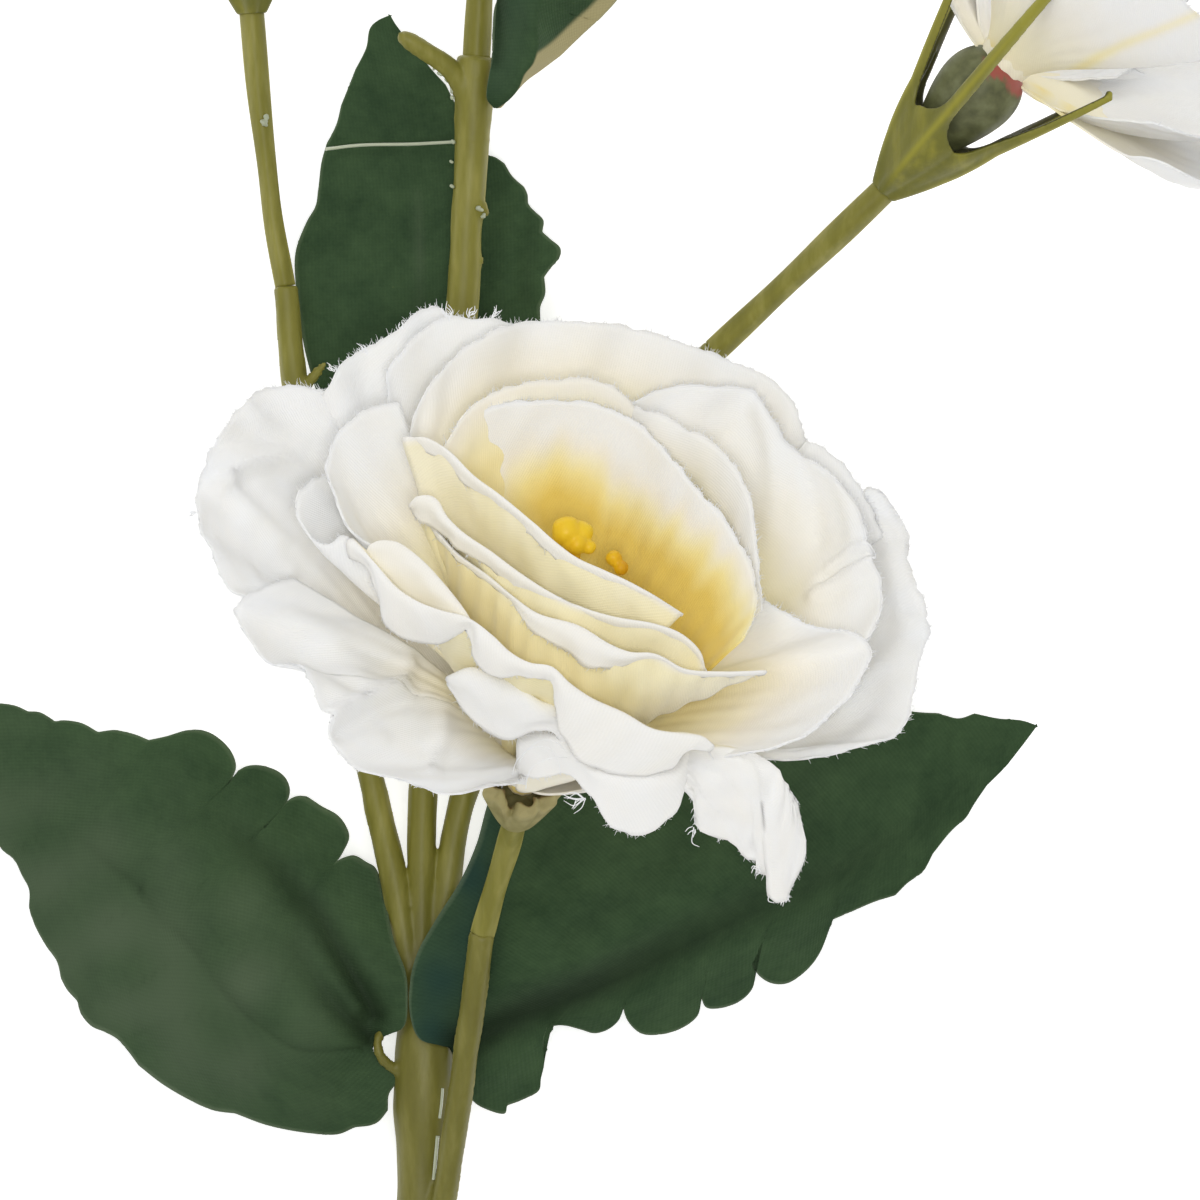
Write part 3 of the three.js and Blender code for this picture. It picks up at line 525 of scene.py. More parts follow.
def seenPoint(bloom, point):
    # a point seen at x, y beside the foot and standing at a height up the bloom's axis
    x, y, height = point
    axis = bloom["axis"]
    return bloom["foot"] + [x, y, (height - axis[0] * x - axis[1] * y) / axis[2]]


def turnedPoint(bloom, turn, radius, height):
    turn, radius, height = np.broadcast_arrays(turn, radius, height)
    return (bloom["foot"] + outward(bloom, turn) * np.asarray(radius, float)[..., None]
            + np.asarray(height, float)[..., None] * bloom["axis"])


def heightAndSide(bloom, points):
    # how far points are up a bloom's axis, and their offsets square to it
    beside = points - bloom["foot"]
    height = beside @ bloom["axis"]
    return height, beside - height[:, None] * bloom["axis"]


petalMake = {
    "thickness": 0.22,
    "step": 0.5,  # mm between grid points
    "creaseDepth": 1.5,
    "rootSpread": (0.2, 0.09),  # share of the root radius at layer 0, and more for each layer out
    "teeth": (-0.12, 0.08),  # mm that single cut threads stand back or out
    "limits": {"columns": (30, 170), "rows": (24, 84), "foldedColumns": (30, 200)},
    "toothWaves": (1.5, 5),  # mm from crest to crest, here and below
    "ruffleWaves": (8, 16),
    "crumpleWaves": (3, 7),
    "ribWander": (9, 20),
    "wallWaves": (4, 9),
    "flutterWaves": (2.5, 6),
    "ribPitch": 2.7,
}


def petalCount(length, kind):
    return int(np.clip(length / petalMake["step"], *petalMake["limits"][kind]))


def rootRing(bloom, side, layer):
    first, more = petalMake["rootSpread"]
    return (bloom["foot"] + (bloom["rootHeight"] + 1) * bloom["axis"]
            + side * bloom["rootRadius"] * (first + more * layer))


def finishGrid(grid, normals, relief, seed):
    # raises the relief and gives the rim the fine teeth of cut threads
    grid = grid + normals * relief[..., None]
    teeth = np.random.default_rng(seed).uniform(*petalMake["teeth"], grid.shape[1])
    teeth = teeth + 0.12 * ripple(lengthsAlong(grid[-1]), 0, petalMake["toothWaves"], seed)
    teeth[[0, -1]] = 0
    grid[-1] = grid[-1] + unit(grid[-1] - grid[-2]) * teeth[:, None]
    return grid


def petalGrid(bloom, petal, seed):
    # an open petal from its root arc to its rim, with ruffles, pressed ribs and folds, and its warmth
    rimLength = lengthsAlong(np.asarray(petal["rim"], float))[-1]
    columns = petalCount(rimLength, "columns")
    rim = smoothCurve(petal["rim"], columns)
    u = np.linspace(0, 1, columns)
    first, last = petal["turns"]
    side = outward(bloom, first + (last - first) * u)
    axis = bloom["axis"]
    root = rootRing(bloom, side, petal["layer"])
    length = np.linalg.norm(rim - root, axis=1)[:, None]
    flare = math.radians(petal["flare"])
    leave = root + (petal.get("reach", 0.3) * axis + petal["belly"] * side) * length
    level = petal.get("level", 0.55)
    opened = axis * math.cos(flare) + side * math.sin(flare)
    heading = unit((1 - level) * opened + level * unit((rim - root) * [1, 1, 0.1]))
    arrive = rim - 0.4 * length * heading
    rows = petalCount(length.mean(), "rows")
    v = np.linspace(0, 1, rows)[:, None]
    grid = bezier(root, leave, arrive, rim, v[..., None])
    v = v + 0 * u
    x, y, _ = np.moveaxis(flatPlaces(grid, 0), 2, 0)
    normals = surfaceNormals(grid)
    free = smoothStep(0.25, 0.95, v)
    relief = petal.get("ruffle", 0.4) * free * ripple(x, 0.25 * y, petalMake["ruffleWaves"], seed)
    relief = relief + petal.get("crumple", 0.07) * free * ripple(x, y, petalMake["crumpleWaves"], seed + 1)
    wander = 0.8 * ripple(x, y, petalMake["ribWander"], seed + 2)
    ribs = np.sin(math.tau * u * petal.get("ribs", 12) + wander)
    relief = relief + petal.get("ribDepth", 0.05) * ribs * window(0.15, 0.45, 0.6, 0.95, v)
    for place, start, stop, breadth, depth, lean in petal.get("folds", ()):
        band = np.exp(-((u[None, :] - place - lean * (v - stop)) * rimLength / breadth) ** 2)
        relief = relief + depth * band * window(start, start + 0.25, stop - 0.12, stop, v)
    pressed = petalMake["creaseDepth"] * np.sign(normals[..., 2:].mean()) * smoothStep(0.3, 0.6, v)
    relief = relief + pressed * creaseLift(petal.get("creases", ()), grid)[0]
    start, stop = petal.get("fade", (0.45, 0.95))
    warmth = petal.get("tint", 0.4) * (1 - smoothStep(start, stop, v)) + 0.04
    return finishGrid(grid, normals, relief, seed + 3), warmth


def foldedGrid(bloom, petal, seed):
    # a petal that stands up as a wall and then turns over along one line, with a flap down to its rim
    lines = [np.array([pair[k] for pair in petal["pairs"]], float) for k in (0, 1)]
    columns = petalCount(lengthsAlong(lines[0])[-1], "foldedColumns")
    over, rim = matchedCurves(lines, columns)
    u = np.linspace(0, 1, columns)
    axis = bloom["axis"]
    side = unit(heightAndSide(bloom, over)[1])
    root = rootRing(bloom, side, petal["layer"])
    wall, flap = over - root, rim - over
    length = np.linalg.norm(wall, axis=1)[:, None]
    reach = np.linalg.norm(flap, axis=1)[:, None]
    turning = unit(unit(wall) + unit(flap))
    tight = np.minimum(petal.get("tight", 1.5), 0.5 + 0.5 * reach)
    belly = alongPetal(petal["belly"], u)[:, None]
    leave = root + (0.3 * axis + belly * side) * length
    arrive = over - turning * tight - petal.get("lean", 0.0) * length * unit(wall * [1, 1, 0.15])
    rows = int(length.mean() / petalMake["step"])
    v = np.linspace(0, 1, rows)[:, None, None]
    flapRows = max(8, int(1.6 * reach.mean() / petalMake["step"]))
    w = np.linspace(0, 1, flapRows + 1)[1:, None, None]
    curl = petal.get("curl", 0.25) * np.array([0, 0, -1])
    near = rim - unit(unit(flap) + curl) * 0.4 * reach
    grid = np.concatenate([bezier(root, leave, arrive, over, v),
                           bezier(over, over + turning * np.minimum(0.45 * reach, tight), near, rim, w)])
    below = np.concatenate([(1 - v[:, :, 0]) * length[:, 0], np.zeros((flapRows, columns))])
    beyond = np.concatenate([np.zeros((rows, columns)), w[:, :, 0] * reach[:, 0]])
    for _ in range(3):
        turn = slice(rows - 4, rows + 3)
        grid[turn] = 0.5 * grid[turn] + 0.25 * (grid[rows - 5:rows + 2] + grid[rows - 3:rows + 4])
    x, y, _ = np.moveaxis(flatPlaces(grid, 0), 2, 0)
    normals = surfaceNormals(grid)
    wander = 0.8 * ripple(x, y, petalMake["ribWander"], seed + 2)
    relief = petal.get("ribDepth", 0.05) * np.sin(math.tau * x / petalMake["ribPitch"] + wander)
    relief = (relief + 0.1 * ripple(x, y, petalMake["wallWaves"], seed + 1)) * smoothStep(0.5, 3, below)
    flutter = petal.get("flutter", 0.12) * ripple(x, y, petalMake["flutterWaves"], seed)
    relief = relief + flutter * smoothStep(0, 2.5, beyond)
    warmth = alongPetal(petal["tint"], u) * smoothStep(-0.6, petal["fade"], below) + petal.get("blush", 0.05)
    return finishGrid(grid, normals, relief, seed + 3), warmth


throat = {
    "line": [(56, 69), (59, 66.5), (63.5, 63.5), (68.7, 59.5), (70.5, 54)],
    "fade": (0.3, 9),  # mm from the line
    "streakWaves": (1.2, 4),
    "streak": 0.35,
}


def goldWarmth(grid):
    # the throat is gold along its bottom and fades out in streaks towards the rim
    away = distanceTo(throat["line"], grid)[0]
    across = 40 * np.linspace(0, 1, grid.shape[1]) + 0 * away
    streaks = throat["streak"] * ripple(across, 0.1 * away, throat["streakWaves"], 19)
    return 1.02 * (1 - smoothStep(*throat["fade"], away + streaks)) + 0.06


mainBloom = bloomFrame(places["mainBloomFoot"], 79, 48, 2.9, calyxHeight + seatGap)

# Each rim has points (x, y, height) beside the foot. Turns are those of its first and last points. A fold
# is (place, from, to, breadth, depth, lean) on the petal, a crease (line on the plan, breadth, depth at its
# start, depth at its end).
openPetals = {
    "inner_cup": dict(
        rim=[(-6, 36, 33), (-3, 41, 37), (2.5, 42, 38), (8.5, 41.5, 38), (13, 39, 38), (17.5, 34, 38),
            (21.5, 29, 38), (23.7, 24, 37.5), (23.8, 20.5, 36.8), (22.8, 18, 35.6)],
        layer=0, turns=(140, 0), flare=15, belly=0.3, thread=10, ruffle=0.3, ribs=17, ribDepth=0.12),
    "cup_collar": dict(
        rim=[(-8, 35, 33), (-7, 37.5, 35.5), (-4.5, 41, 37.5), (0, 43.5, 39), (4.5, 44, 39), (8.5, 44, 39),
            (11, 42.5, 38), (13, 40, 36)],
        layer=1, turns=(150, 75), flare=20, belly=0.34, thread=0, tint=0.5, fade=(0.8, 1.1), ruffle=0.2),
    "right_collar": dict(
        rim=[(9.5, 42, 35), (14, 40.7, 38.5), (17.5, 39, 38.5), (20.7, 37, 38.5), (23, 33.5, 38.5),
            (24, 29.5, 38), (24.5, 21, 35)],
        layer=1, turns=(80, 0), flare=20, belly=0.34, thread=80, tint=0.4, fade=(0.8, 1.05), ruffle=0.2),
    "tall_back": dict(
        rim=[(-10.6, 37, 31), (-10.2, 40, 33.5), (-8.7, 43, 35.5), (-6.7, 45.7, 36.5), (-3.5, 48.2, 37.5),
            (1.5, 49.8, 38), (10.5, 49.5, 38), (19, 47, 37), (26.5, 43.4, 35), (28.5, 40.4, 34),
            (29.1, 38, 32)],
        layer=2, turns=(145, 40), flare=35, belly=0.26, reach=0.4, thread=5, tint=0.45, fade=(0.7, 1.05),
        folds=((0.42, 0.6, 1.1, 3, 0.5, 0.1), (0.62, 0.55, 1.1, 2.5, -0.4, 0.1))),
    "tall_right": dict(
        rim=[(11.3, 41.6, 35), (15.5, 43.3, 36.5), (20, 43.5, 37), (23.7, 43, 36.5), (25.7, 40.5, 36),
            (27, 38, 35), (33, 33.3, 34), (35.7, 27.5, 33), (36.5, 24, 32.5), (36.5, 20.8, 32),
            (34.5, 16.8, 31)],
        layer=2, turns=(75, -25), flare=40, belly=0.22, reach=0.42, thread=85, tint=0.45, fade=(0.6, 1.0),
        folds=((0.3, 0.45, 1.1, 2.6, -0.7, 0.15),),
        creases=[([(81.3, 60.1), (84.5, 62.2), (87.5, 63.6)], 0.55, 0.5, 0.9),
            ([(82.4, 61.8), (85, 63.4), (87.6, 64.6)], 0.5, -0.4, -0.6),
            ([(83, 63.2), (85.2, 64.6), (87.4, 65.4)], 0.5, 0.3, 0.6),
            ([(76.3, 79), (77.4, 73.5), (77.2, 67)], 1.0, 0.6, 0.3),
            ([(79.5, 76), (81, 71), (81.5, 66)], 1.1, -0.4, -0.5),
            ([(83, 75), (84.5, 70), (85.5, 66.5)], 0.8, 0.5, 0.3)]),
    "low_right": dict(
        rim=[(24.2, 22.4, 33), (26.8, 20.9, 33.5), (30, 19.4, 33.5), (33.5, 18.9, 33), (35.5, 17.4, 32.3),
            (34.3, 13.8, 31.5), (31.8, 11, 30.5), (28.5, 8.3, 30), (25, 6.9, 29), (21, 6.3, 27)],
        layer=3, turns=(5, -65), flare=50, belly=0.16, reach=0.45, thread=70, tint=0.45, fade=(0.5, 1.0),
        ruffle=0.2),
    "left_frill": dict(
        rim=[(-18.5, 34.5, 30), (-20.2, 34, 31.5), (-21.5, 32.6, 32), (-21.8, 30.6, 32), (-21.2, 29, 32),
            (-20, 27.8, 32.3), (-18.4, 27.7, 32.8), (-17, 28.4, 33.5), (-15.6, 27.3, 33.6),
            (-15, 25.8, 33.4), (-13.4, 25.2, 33)],
        layer=3, turns=(165, 205), flare=50, belly=0.12, reach=0.5, level=0.75, thread=30, tint=0.3,
        fade=(0.5, 0.98), ruffle=0.2),
    "round_left_cup": dict(
        rim=[(-11.5, 41.8, 34), (-14, 41.4, 34), (-16.3, 40, 33.5), (-18, 38.4, 33), (-18.7, 36.2, 32.5),
            (-18.6, 34, 32.5), (-17.8, 31.4, 32.5), (-16.2, 28.9, 33), (-14.1, 27.2, 33)],
        layer=2, turns=(130, 205), flare=40, belly=0.12, reach=0.5, level=0.8, thread=10, tint=0.4,
        fade=(0.5, 0.95), ruffle=0.2),
    "back_left_inner": dict(
        rim=[(-13, 41.5, 31), (-13, 45, 33), (-11.3, 47, 34), (-9.3, 49, 35), (-6.5, 50.3, 35.5),
            (-0.7, 49.8, 35), (2, 48.7, 33)],
        layer=3, turns=(145, 95), flare=45, belly=0.38, thread=0, tint=0.2, fade=(0.4, 0.85)),
    "back_left_outer": dict(
        rim=[(-19.7, 41.8, 28), (-18.5, 44, 30), (-16.7, 46.2, 31), (-13, 48.2, 32), (-9, 51.2, 33),
            (-7.5, 51.2, 33), (-6.3, 49.8, 32.5), (-4.3, 48.4, 30)],
        layer=4, turns=(150, 105), flare=55, belly=0.4, thread=75, tint=0.15, fade=(0.4, 0.85)),
    "outer_left": dict(
        rim=[(-27, 21, 26), (-29, 23.8, 27), (-30.7, 27.7, 28), (-31.7, 31.2, 28.5), (-31.3, 34.2, 29),
            (-30, 37.7, 29.5), (-28, 40.8, 29.5), (-25.3, 43, 29.5), (-22.5, 43.5, 29.5), (-20, 43, 29),
            (-18.3, 41.5, 27)],
        layer=4, turns=(205, 140), flare=60, belly=0.38, thread=10, tint=0.15, fade=(0.35, 0.8), ruffle=0.4,
        creases=[([(22, 71.8), (23.7, 73), (28, 73.9), (31, 72.8)], 0.9, 1.0, 0.2),
            ([(22, 71.8), (24.2, 69.5), (28, 66)], 0.9, 0.9, 0.3),
            ([(21.5, 75), (25, 76.5), (29, 76)], 1.0, -0.6, -0.2),
            ([(21, 67), (25, 64.5), (29, 62)], 1.3, -0.6, -0.2),
            ([(24, 80), (26.5, 77.5), (30, 76)], 1.0, 0.5, 0.2),
            ([(22.7, 59), (25.5, 60.2), (29.2, 62.3)], 0.7, 0.9, 0.3)]),
    "lower_left": dict(
        rim=[(1, 4.3, 17), (-2, 3.5, 20), (-6.5, 3, 22), (-11.5, 3.6, 23), (-15.5, 5.3, 24), (-18, 7.2, 25),
            (-19, 10.3, 25.5), (-20.7, 13, 26), (-21.5, 15.8, 26.5), (-24.3, 16.8, 27), (-28.5, 20.4, 27),
            (-26.5, 22.6, 27.5), (-22, 24.2, 27)],
        layer=4, turns=(290, 195), flare=60, belly=0.1, reach=0.5, thread=20, tint=0.35, fade=(0.25, 0.7),
        ruffle=0.4,
        creases=[([(33, 48), (37.5, 50.5), (40.5, 52), (41, 54)], 0.7, 0.9, 0.5),
            ([(34, 46.8), (38.5, 49), (42, 50.5)], 0.8, -0.6, -0.4),
            ([(24, 58.5), (30, 57.4), (36, 53.5)], 1.4, 0.8, 0.3),
            ([(25.5, 54.5), (31, 54), (35.5, 51)], 1.1, -0.7, -0.4),
            ([(28, 50), (32, 51), (35, 50)], 1.0, 0.6, 0.3),
            ([(30.5, 45), (34, 44.6), (38, 46)], 0.9, 0.4, 0.3),
            ([(43, 43), (44, 46), (44.5, 49)], 0.9, 0.5, 0.3)]),
    "outer_right": dict(
        rim=[(23, 6.3, 21), (27.5, 6.2, 23), (31.5, 6.4, 24), (35, 7.2, 25), (38, 8.4, 25.6),
            (39.2, 11, 26), (40.4, 15, 26.5), (41.3, 18.8, 27), (41, 21.6, 27.5), (39.1, 26.6, 28.5),
            (39.2, 29, 29), (38, 31, 29.5), (36.2, 33, 30), (34.8, 32.3, 29)],
        layer=4, turns=(-60, 30), flare=65, belly=0.38, thread=40, tint=0.15, fade=(0.35, 0.8), ruffle=0.35,
        creases=[([(87.7, 70.6), (89, 65), (90.2, 58.1)], 0.8, 0.5, 0.3),
            ([(89.4, 69), (90.8, 64), (91.4, 59)], 0.6, -0.4, -0.2),
            ([(84, 50), (88, 53), (91, 57)], 1.2, 0.4, 0.2),
            ([(80, 46.5), (84, 47.8), (88, 50)], 1.0, -0.4, -0.2)]),
    "upper_right": dict(
        rim=[(36.9, 28.2, 28), (35.3, 32, 30), (33.5, 34.8, 30.5), (31.5, 36.8, 31), (29.1, 38.2, 31),
            (27, 39.2, 29)],
        layer=3, turns=(5, 50), flare=60, belly=0.4, thread=45, tint=0.2, fade=(0.35, 0.8), ruffle=0.25),
}

# Petals that turn over: each pair is a point of the line where the petal turns, and the point of its rim
# under it, as (x, y, z) on the plan.
foldedPetals = {
    "front_first": dict(
        pairs=[((40.2, 76.2, 40.5), (40.8, 75.5, 40)), ((42.5, 76.3, 42), (42.2, 75, 41.2)),
            ((44.6, 75.3, 43.5), (44.4, 73.9, 42.6)), ((47.4, 72.6, 46), (47.1, 71.1, 45)),
            ((50, 70.7, 48), (49.8, 69.3, 47)), ((52.2, 68.9, 49.3), (51.8, 67.6, 48.4)),
            ((53.8, 67.5, 50.3), (53.1, 66.6, 49.5)), ((55.6, 65.9, 51.3), (54.6, 65, 50.5)),
            ((58, 64.2, 51.9), (57, 63.1, 51)), ((60.5, 63.1, 52), (59.6, 61.9, 51.2)),
            ((63, 61.9, 51.9), (62.3, 61, 51.1)), ((65.5, 60.5, 51.5), (65.2, 59.8, 50.9)),
            ((68.3, 58.7, 51), (68.2, 58.4, 50.8))],
        layer=0, belly=0.14, lean=0.3, thread=60, tint=(0.28, 0.33, 0.35, 0.35), fade=1.2),
    "front_second": dict(
        pairs=[((41.1, 69.6, 44.3), (41.3, 68.7, 43.8)), ((42, 70.6, 45.2), (42, 67.8, 44.4)),
            ((43.5, 70.5, 46), (43.2, 67.3, 45)), ((44.6, 68.7, 47), (44.6, 66.3, 46)),
            ((46.4, 66.9, 48.3), (45.8, 65.2, 47.2)), ((49.2, 65, 50), (48.7, 63.6, 48.9)),
            ((51.5, 63.3, 51.3), (50.6, 61.8, 50)), ((54.5, 61.3, 52.5), (53.7, 60.1, 51.3)),
            ((57.2, 59.8, 53), (56.6, 59, 52)), ((61.2, 58.6, 53), (60.8, 57.3, 52)),
            ((65.2, 57.8, 52.8), (65.1, 56.7, 52)), ((68, 56.8, 52.3), (67.7, 55.7, 51.6)),
            ((70, 55, 51.8), (69.4, 54.3, 51.2)), ((70.6, 53, 51), (70.3, 52.8, 50.6))],
        layer=1, belly=0.16, lean=0.3, thread=20, tint=(0.36, 0.4, 0.36, 0.34), fade=1.2),
    "front_third": dict(
        pairs=[((42.6, 68.6, 43.6), (42.4, 68.2, 43.2)), ((45.5, 65, 46.6), (45.2, 64.6, 46.1)),
            ((49, 62.4, 49), (48.6, 61.9, 48.5)), ((51.5, 60.3, 51), (51.2, 59.9, 50.6)),
            ((54, 58.8, 52.8), (53, 57.2, 52)), ((58, 57.7, 54.2), (56.7, 54.8, 53.2)),
            ((61.2, 55.8, 55), (59.3, 53.2, 53.8)), ((63.2, 55, 55), (61.8, 53.3, 54)),
            ((65.2, 54.8, 54.8), (64.4, 54, 54.2)), ((66.3, 54.4, 54.5), (66, 53.9, 54.1)),
            ((68.5, 53.2, 54), (68.2, 52.7, 53.6)), ((72, 52.9, 53.5), (71.8, 52.4, 53.1)),
            ((76.6, 53, 52.5), (76.4, 52.6, 52.2))],
        layer=2, belly=0.2, lean=0.3, thread=-10, tint=(0.42, 0.42, 0.42, 0.36, 0.2), fade=1.5,
        ribDepth=0.16),
    "left_inner_fold": dict(
        pairs=[((37, 65, 48), (36.9, 64.2, 47.5)), ((37.8, 65.9, 48.6), (37.3, 62.8, 47)),
            ((39.5, 66, 49), (38.5, 60.5, 46.8)), ((41.7, 64.6, 49.8), (40, 58.8, 47)),
            ((44.2, 62, 50.8), (42.5, 57.8, 48)), ((46.4, 59.2, 51.5), (45.3, 57.2, 49.8)),
            ((47.2, 57.8, 51.5), (46.8, 57, 50.5))],
        layer=2, belly=0.16, lean=0.25, thread=15, tint=0.36, fade=2.5, blush=0.12),
    "front_wave": dict(
        pairs=[((35.2, 66.2, 48), (35, 64.2, 47)), ((37.2, 64, 49.5), (37, 63.2, 48)),
            ((39.5, 61.4, 51), (38, 60, 48.6)), ((42, 59.8, 52), (38.6, 57.6, 48.2)),
            ((44.5, 58.9, 52.6), (41.5, 55.9, 48.4)), ((46.6, 58.4, 53), (44.8, 55.9, 49.8)),
            ((48, 57.5, 53.3), (46.8, 57.2, 51.8)), ((49.4, 56.4, 53.8), (47.3, 54.5, 51.4)),
            ((51, 54.9, 54), (48.6, 52.8, 51.6)), ((53, 53.8, 54.3), (52.5, 52.3, 53)),
            ((55.2, 53.4, 54.8), (55, 52, 53.6)), ((57, 51.8, 55), (55.6, 49.5, 53.2)),
            ((59.2, 50.3, 55), (56.2, 46.5, 51.6)), ((62.5, 48.8, 54.8), (58.8, 43.6, 50.4)),
            ((65.3, 47.2, 54.5), (63, 42.6, 50)), ((68, 46.7, 54), (67, 43.2, 50.6)),
            ((70.3, 46.4, 53.5), (68.2, 45, 51.8)), ((71.3, 45.6, 52.5), (71, 44.9, 52))],
        layer=3, belly=(0.1, 0.1, 0.12, 0.14, 0.16), lean=0.1, thread=45, tint=(0.3, 0.38, 0.42, 0.25),
        fade=2, curl=0.5),
    "small_front_fold": dict(
        pairs=[((44.9, 52.4, 46.5), (44.8, 51.7, 45.6)), ((47, 53.2, 48), (46, 49.6, 45.6)),
            ((49, 52.6, 48.7), (48.3, 47.2, 45.6)), ((51.7, 51.4, 49.2), (51, 46.1, 46)),
            ((54.2, 49.7, 49.6), (53.4, 47, 47.6)), ((55.8, 49.2, 49.6), (55.5, 46.9, 48)),
            ((57, 48, 48.8), (56.7, 45, 47.4))],
        layer=3.4, belly=0.2, thread=40, tint=0.14, fade=3, curl=0.3),
    "low_front": dict(
        pairs=[((51.8, 46.5, 44.5), (51.6, 42.6, 41.5)), ((54, 46.9, 46.2), (54, 42.3, 43.5)),
            ((56, 46.3, 47.6), (55.8, 42.6, 45.4)), ((57.6, 45, 48.6), (57.2, 42.6, 46.8)),
            ((59.5, 43.4, 49.4), (58.8, 40.9, 47.2)), ((62, 42.8, 49.6), (61.4, 37.2, 46.4)),
            ((65, 43, 49.6), (63.8, 36.7, 46)), ((67.5, 43.6, 49.6), (67.1, 38.4, 46.6)),
            ((68.4, 45, 49.2), (68.2, 40.8, 47.4)), ((69, 46, 48.8), (68.8, 43.4, 48))],
        layer=4, belly=0.24, thread=45, tint=0.2, fade=3),
    "torn_front": dict(
        pairs=[((67.8, 44.7, 48.6), (68, 41.5, 47.8)), ((68.8, 44.9, 49.2), (69.3, 40.2, 47.6)),
            ((70.2, 45, 49.6), (69.6, 37.3, 46.6)), ((71.3, 45.1, 49.8), (71.5, 36.4, 46.2)),
            ((72.2, 45.1, 49.8), (74, 35.2, 45.6)), ((72.9, 45.1, 49.8), (74.3, 34.1, 45.2)),
            ((73.5, 45, 49.7), (75.7, 34, 45)), ((74, 45, 49.6), (75.8, 32.9, 44.6)),
            ((74.4, 44.9, 49.5), (76.9, 32.4, 44.4)), ((74.8, 44.8, 49.3), (76.8, 30.5, 43.8)),
            ((75.2, 44.7, 49.1), (78.2, 29.7, 43.4)), ((75.5, 44.6, 48.9), (79.4, 32, 44)),
            ((75.7, 44.5, 48.7), (80.4, 34.2, 44.8)), ((75.9, 44.4, 48.5), (80.1, 38, 46)),
            ((76, 44.3, 48.3), (78.8, 41.2, 47)), ((76, 44.2, 48), (76.6, 43, 47.6))],
        layer=4, belly=0.24, thread=80, tint=0.25, fade=3, flutter=0.2, tight=2.5),
}

fray = {
    "perMillimetre": 4.0,
    "length": (0.2, 0.95),
    "radius": 0.042,
    "threadRadius": 0.05,
    "lean": 0.55,
    "scatter": 0.25,
    "inside": 0.25,  # share of its length by which a hair starts inside the cloth
}


def petalSheet(name, node, grid, warmth, thread):
    sheetPiece(name, node, petalLook, grid, petalMake["thickness"], {"warmth": warmth}, thread)


def petalSolid(name, node, corners, faces, warmth=0.0):
    attributes = {"warmth": np.full(len(corners), warmth), "weave": corners}
    makePiece(name, node, petalLook, corners, faces, attributes)


def frayHairs(name, node, grids, seed):
    # fine fibre ends that stand out of the cut rims
    random = np.random.default_rng(seed)
    parts = []
    for grid in grids:
        rim, before = grid[-1], grid[-3]
        length = lengthsAlong(rim)
        count = int(length[-1] * fray["perMillimetre"])
        for place in random.uniform(0.4, length[-1] - 0.4, count):
            k = int(np.clip(np.searchsorted(length, place), 1, len(rim) - 1))
            share = (place - length[k - 1]) / max(length[k] - length[k - 1], 1e-6)
            start = rim[k - 1] + (rim[k] - rim[k - 1]) * share
            out = unit(rim[k] - before[k])
            along = unit(rim[k] - rim[k - 1])
            reach = random.uniform(*fray["length"]) * random.uniform(0.4, 1)
            heading = out + along * random.normal(0, fray["lean"])
            heading = unit(heading + random.normal(0, fray["scatter"], 3))
            droop = random.normal(0, fray["scatter"], 3)
            steps = np.array([-fray["inside"], 0.35, 1.0])[:, None]
            path = start + steps * reach * heading + (steps ** 2) * reach * 0.4 * droop
            path[:, 2] = np.maximum(path[:, 2], tableHeight)
            parts.append(tube(path, fray["radius"] * np.array([1, 0.8, 0.35]), 3))
    petalSolid(name, node, *joined(parts))


def makeMainBloom():
    grids = []
    for number, (name, petal) in enumerate({**openPetals, **foldedPetals}.items()):
        seed = 100 + 10 * number
        if "pairs" in petal:
            grid, warmth = foldedGrid(mainBloom, petal, seed)
        else:
            rim = [seenPoint(mainBloom, point) for point in petal["rim"]]
            grid, warmth = petalGrid(mainBloom, dict(petal, rim=rim), seed)
        if name == "inner_cup":
            warmth = goldWarmth(grid)
        petalSheet("main_bloom_petal_" + name, "main_bloom_petals", grid, warmth, petal["thread"])
        grids.append(grid)
    frayHairs("main_bloom_fray", "main_bloom_petals", grids, 7)


def makeHeart(name, node, bloom, radius, warmth):
    # the small core in which the petals' roots are sunk
    height, sides = 5, 48
    t = np.linspace(0, 1, 14)
    path = turnedPoint(bloom, 0, 0 * t, bloom["rootHeight"] + height * t)
    radii = radius + 0.25 * height * t * (1.5 - t)
    radii[-1] *= 0.6
    turn = np.linspace(0, math.tau, sides, endpoint=False)
    petalSolid(name, node, *tube(path, radii[:, None] * (1 + 0.03 * np.sin(10 * turn)), sides), warmth)


# Threads that hang loose, as (x, y, z) on the plan.
looseThreads = [
    [(51.9, 43.8, 47), (52.9, 45.2, 51.5), (54.4, 46.1, 53), (55.6, 45.9, 53), (56.7, 44.8, 51)],
    [(52.6, 41.2, 45), (52.8, 42.5, 50), (53.4, 43.5, 51.5), (55.2, 44.3, 52.5), (56.7, 44.3, 51)],
    [(51.2, 42.6, 46), (52, 44.4, 50), (53.6, 45.4, 52.2), (55, 45.2, 52.6), (55.8, 44, 52),
    (56.1, 42.6, 50.4)], [(68.1, 46.3, 50.4), (69.4, 46, 51.4), (70.6, 45.2, 51.4), (71.3, 44.1, 50.6)],
    [(69.3, 37, 47.4), (69.2, 35.8, 47), (69.9, 35.4, 46.8)],
    [(77, 31, 44), (76.8, 30, 43.8), (77.4, 29.8, 43.6)],
]
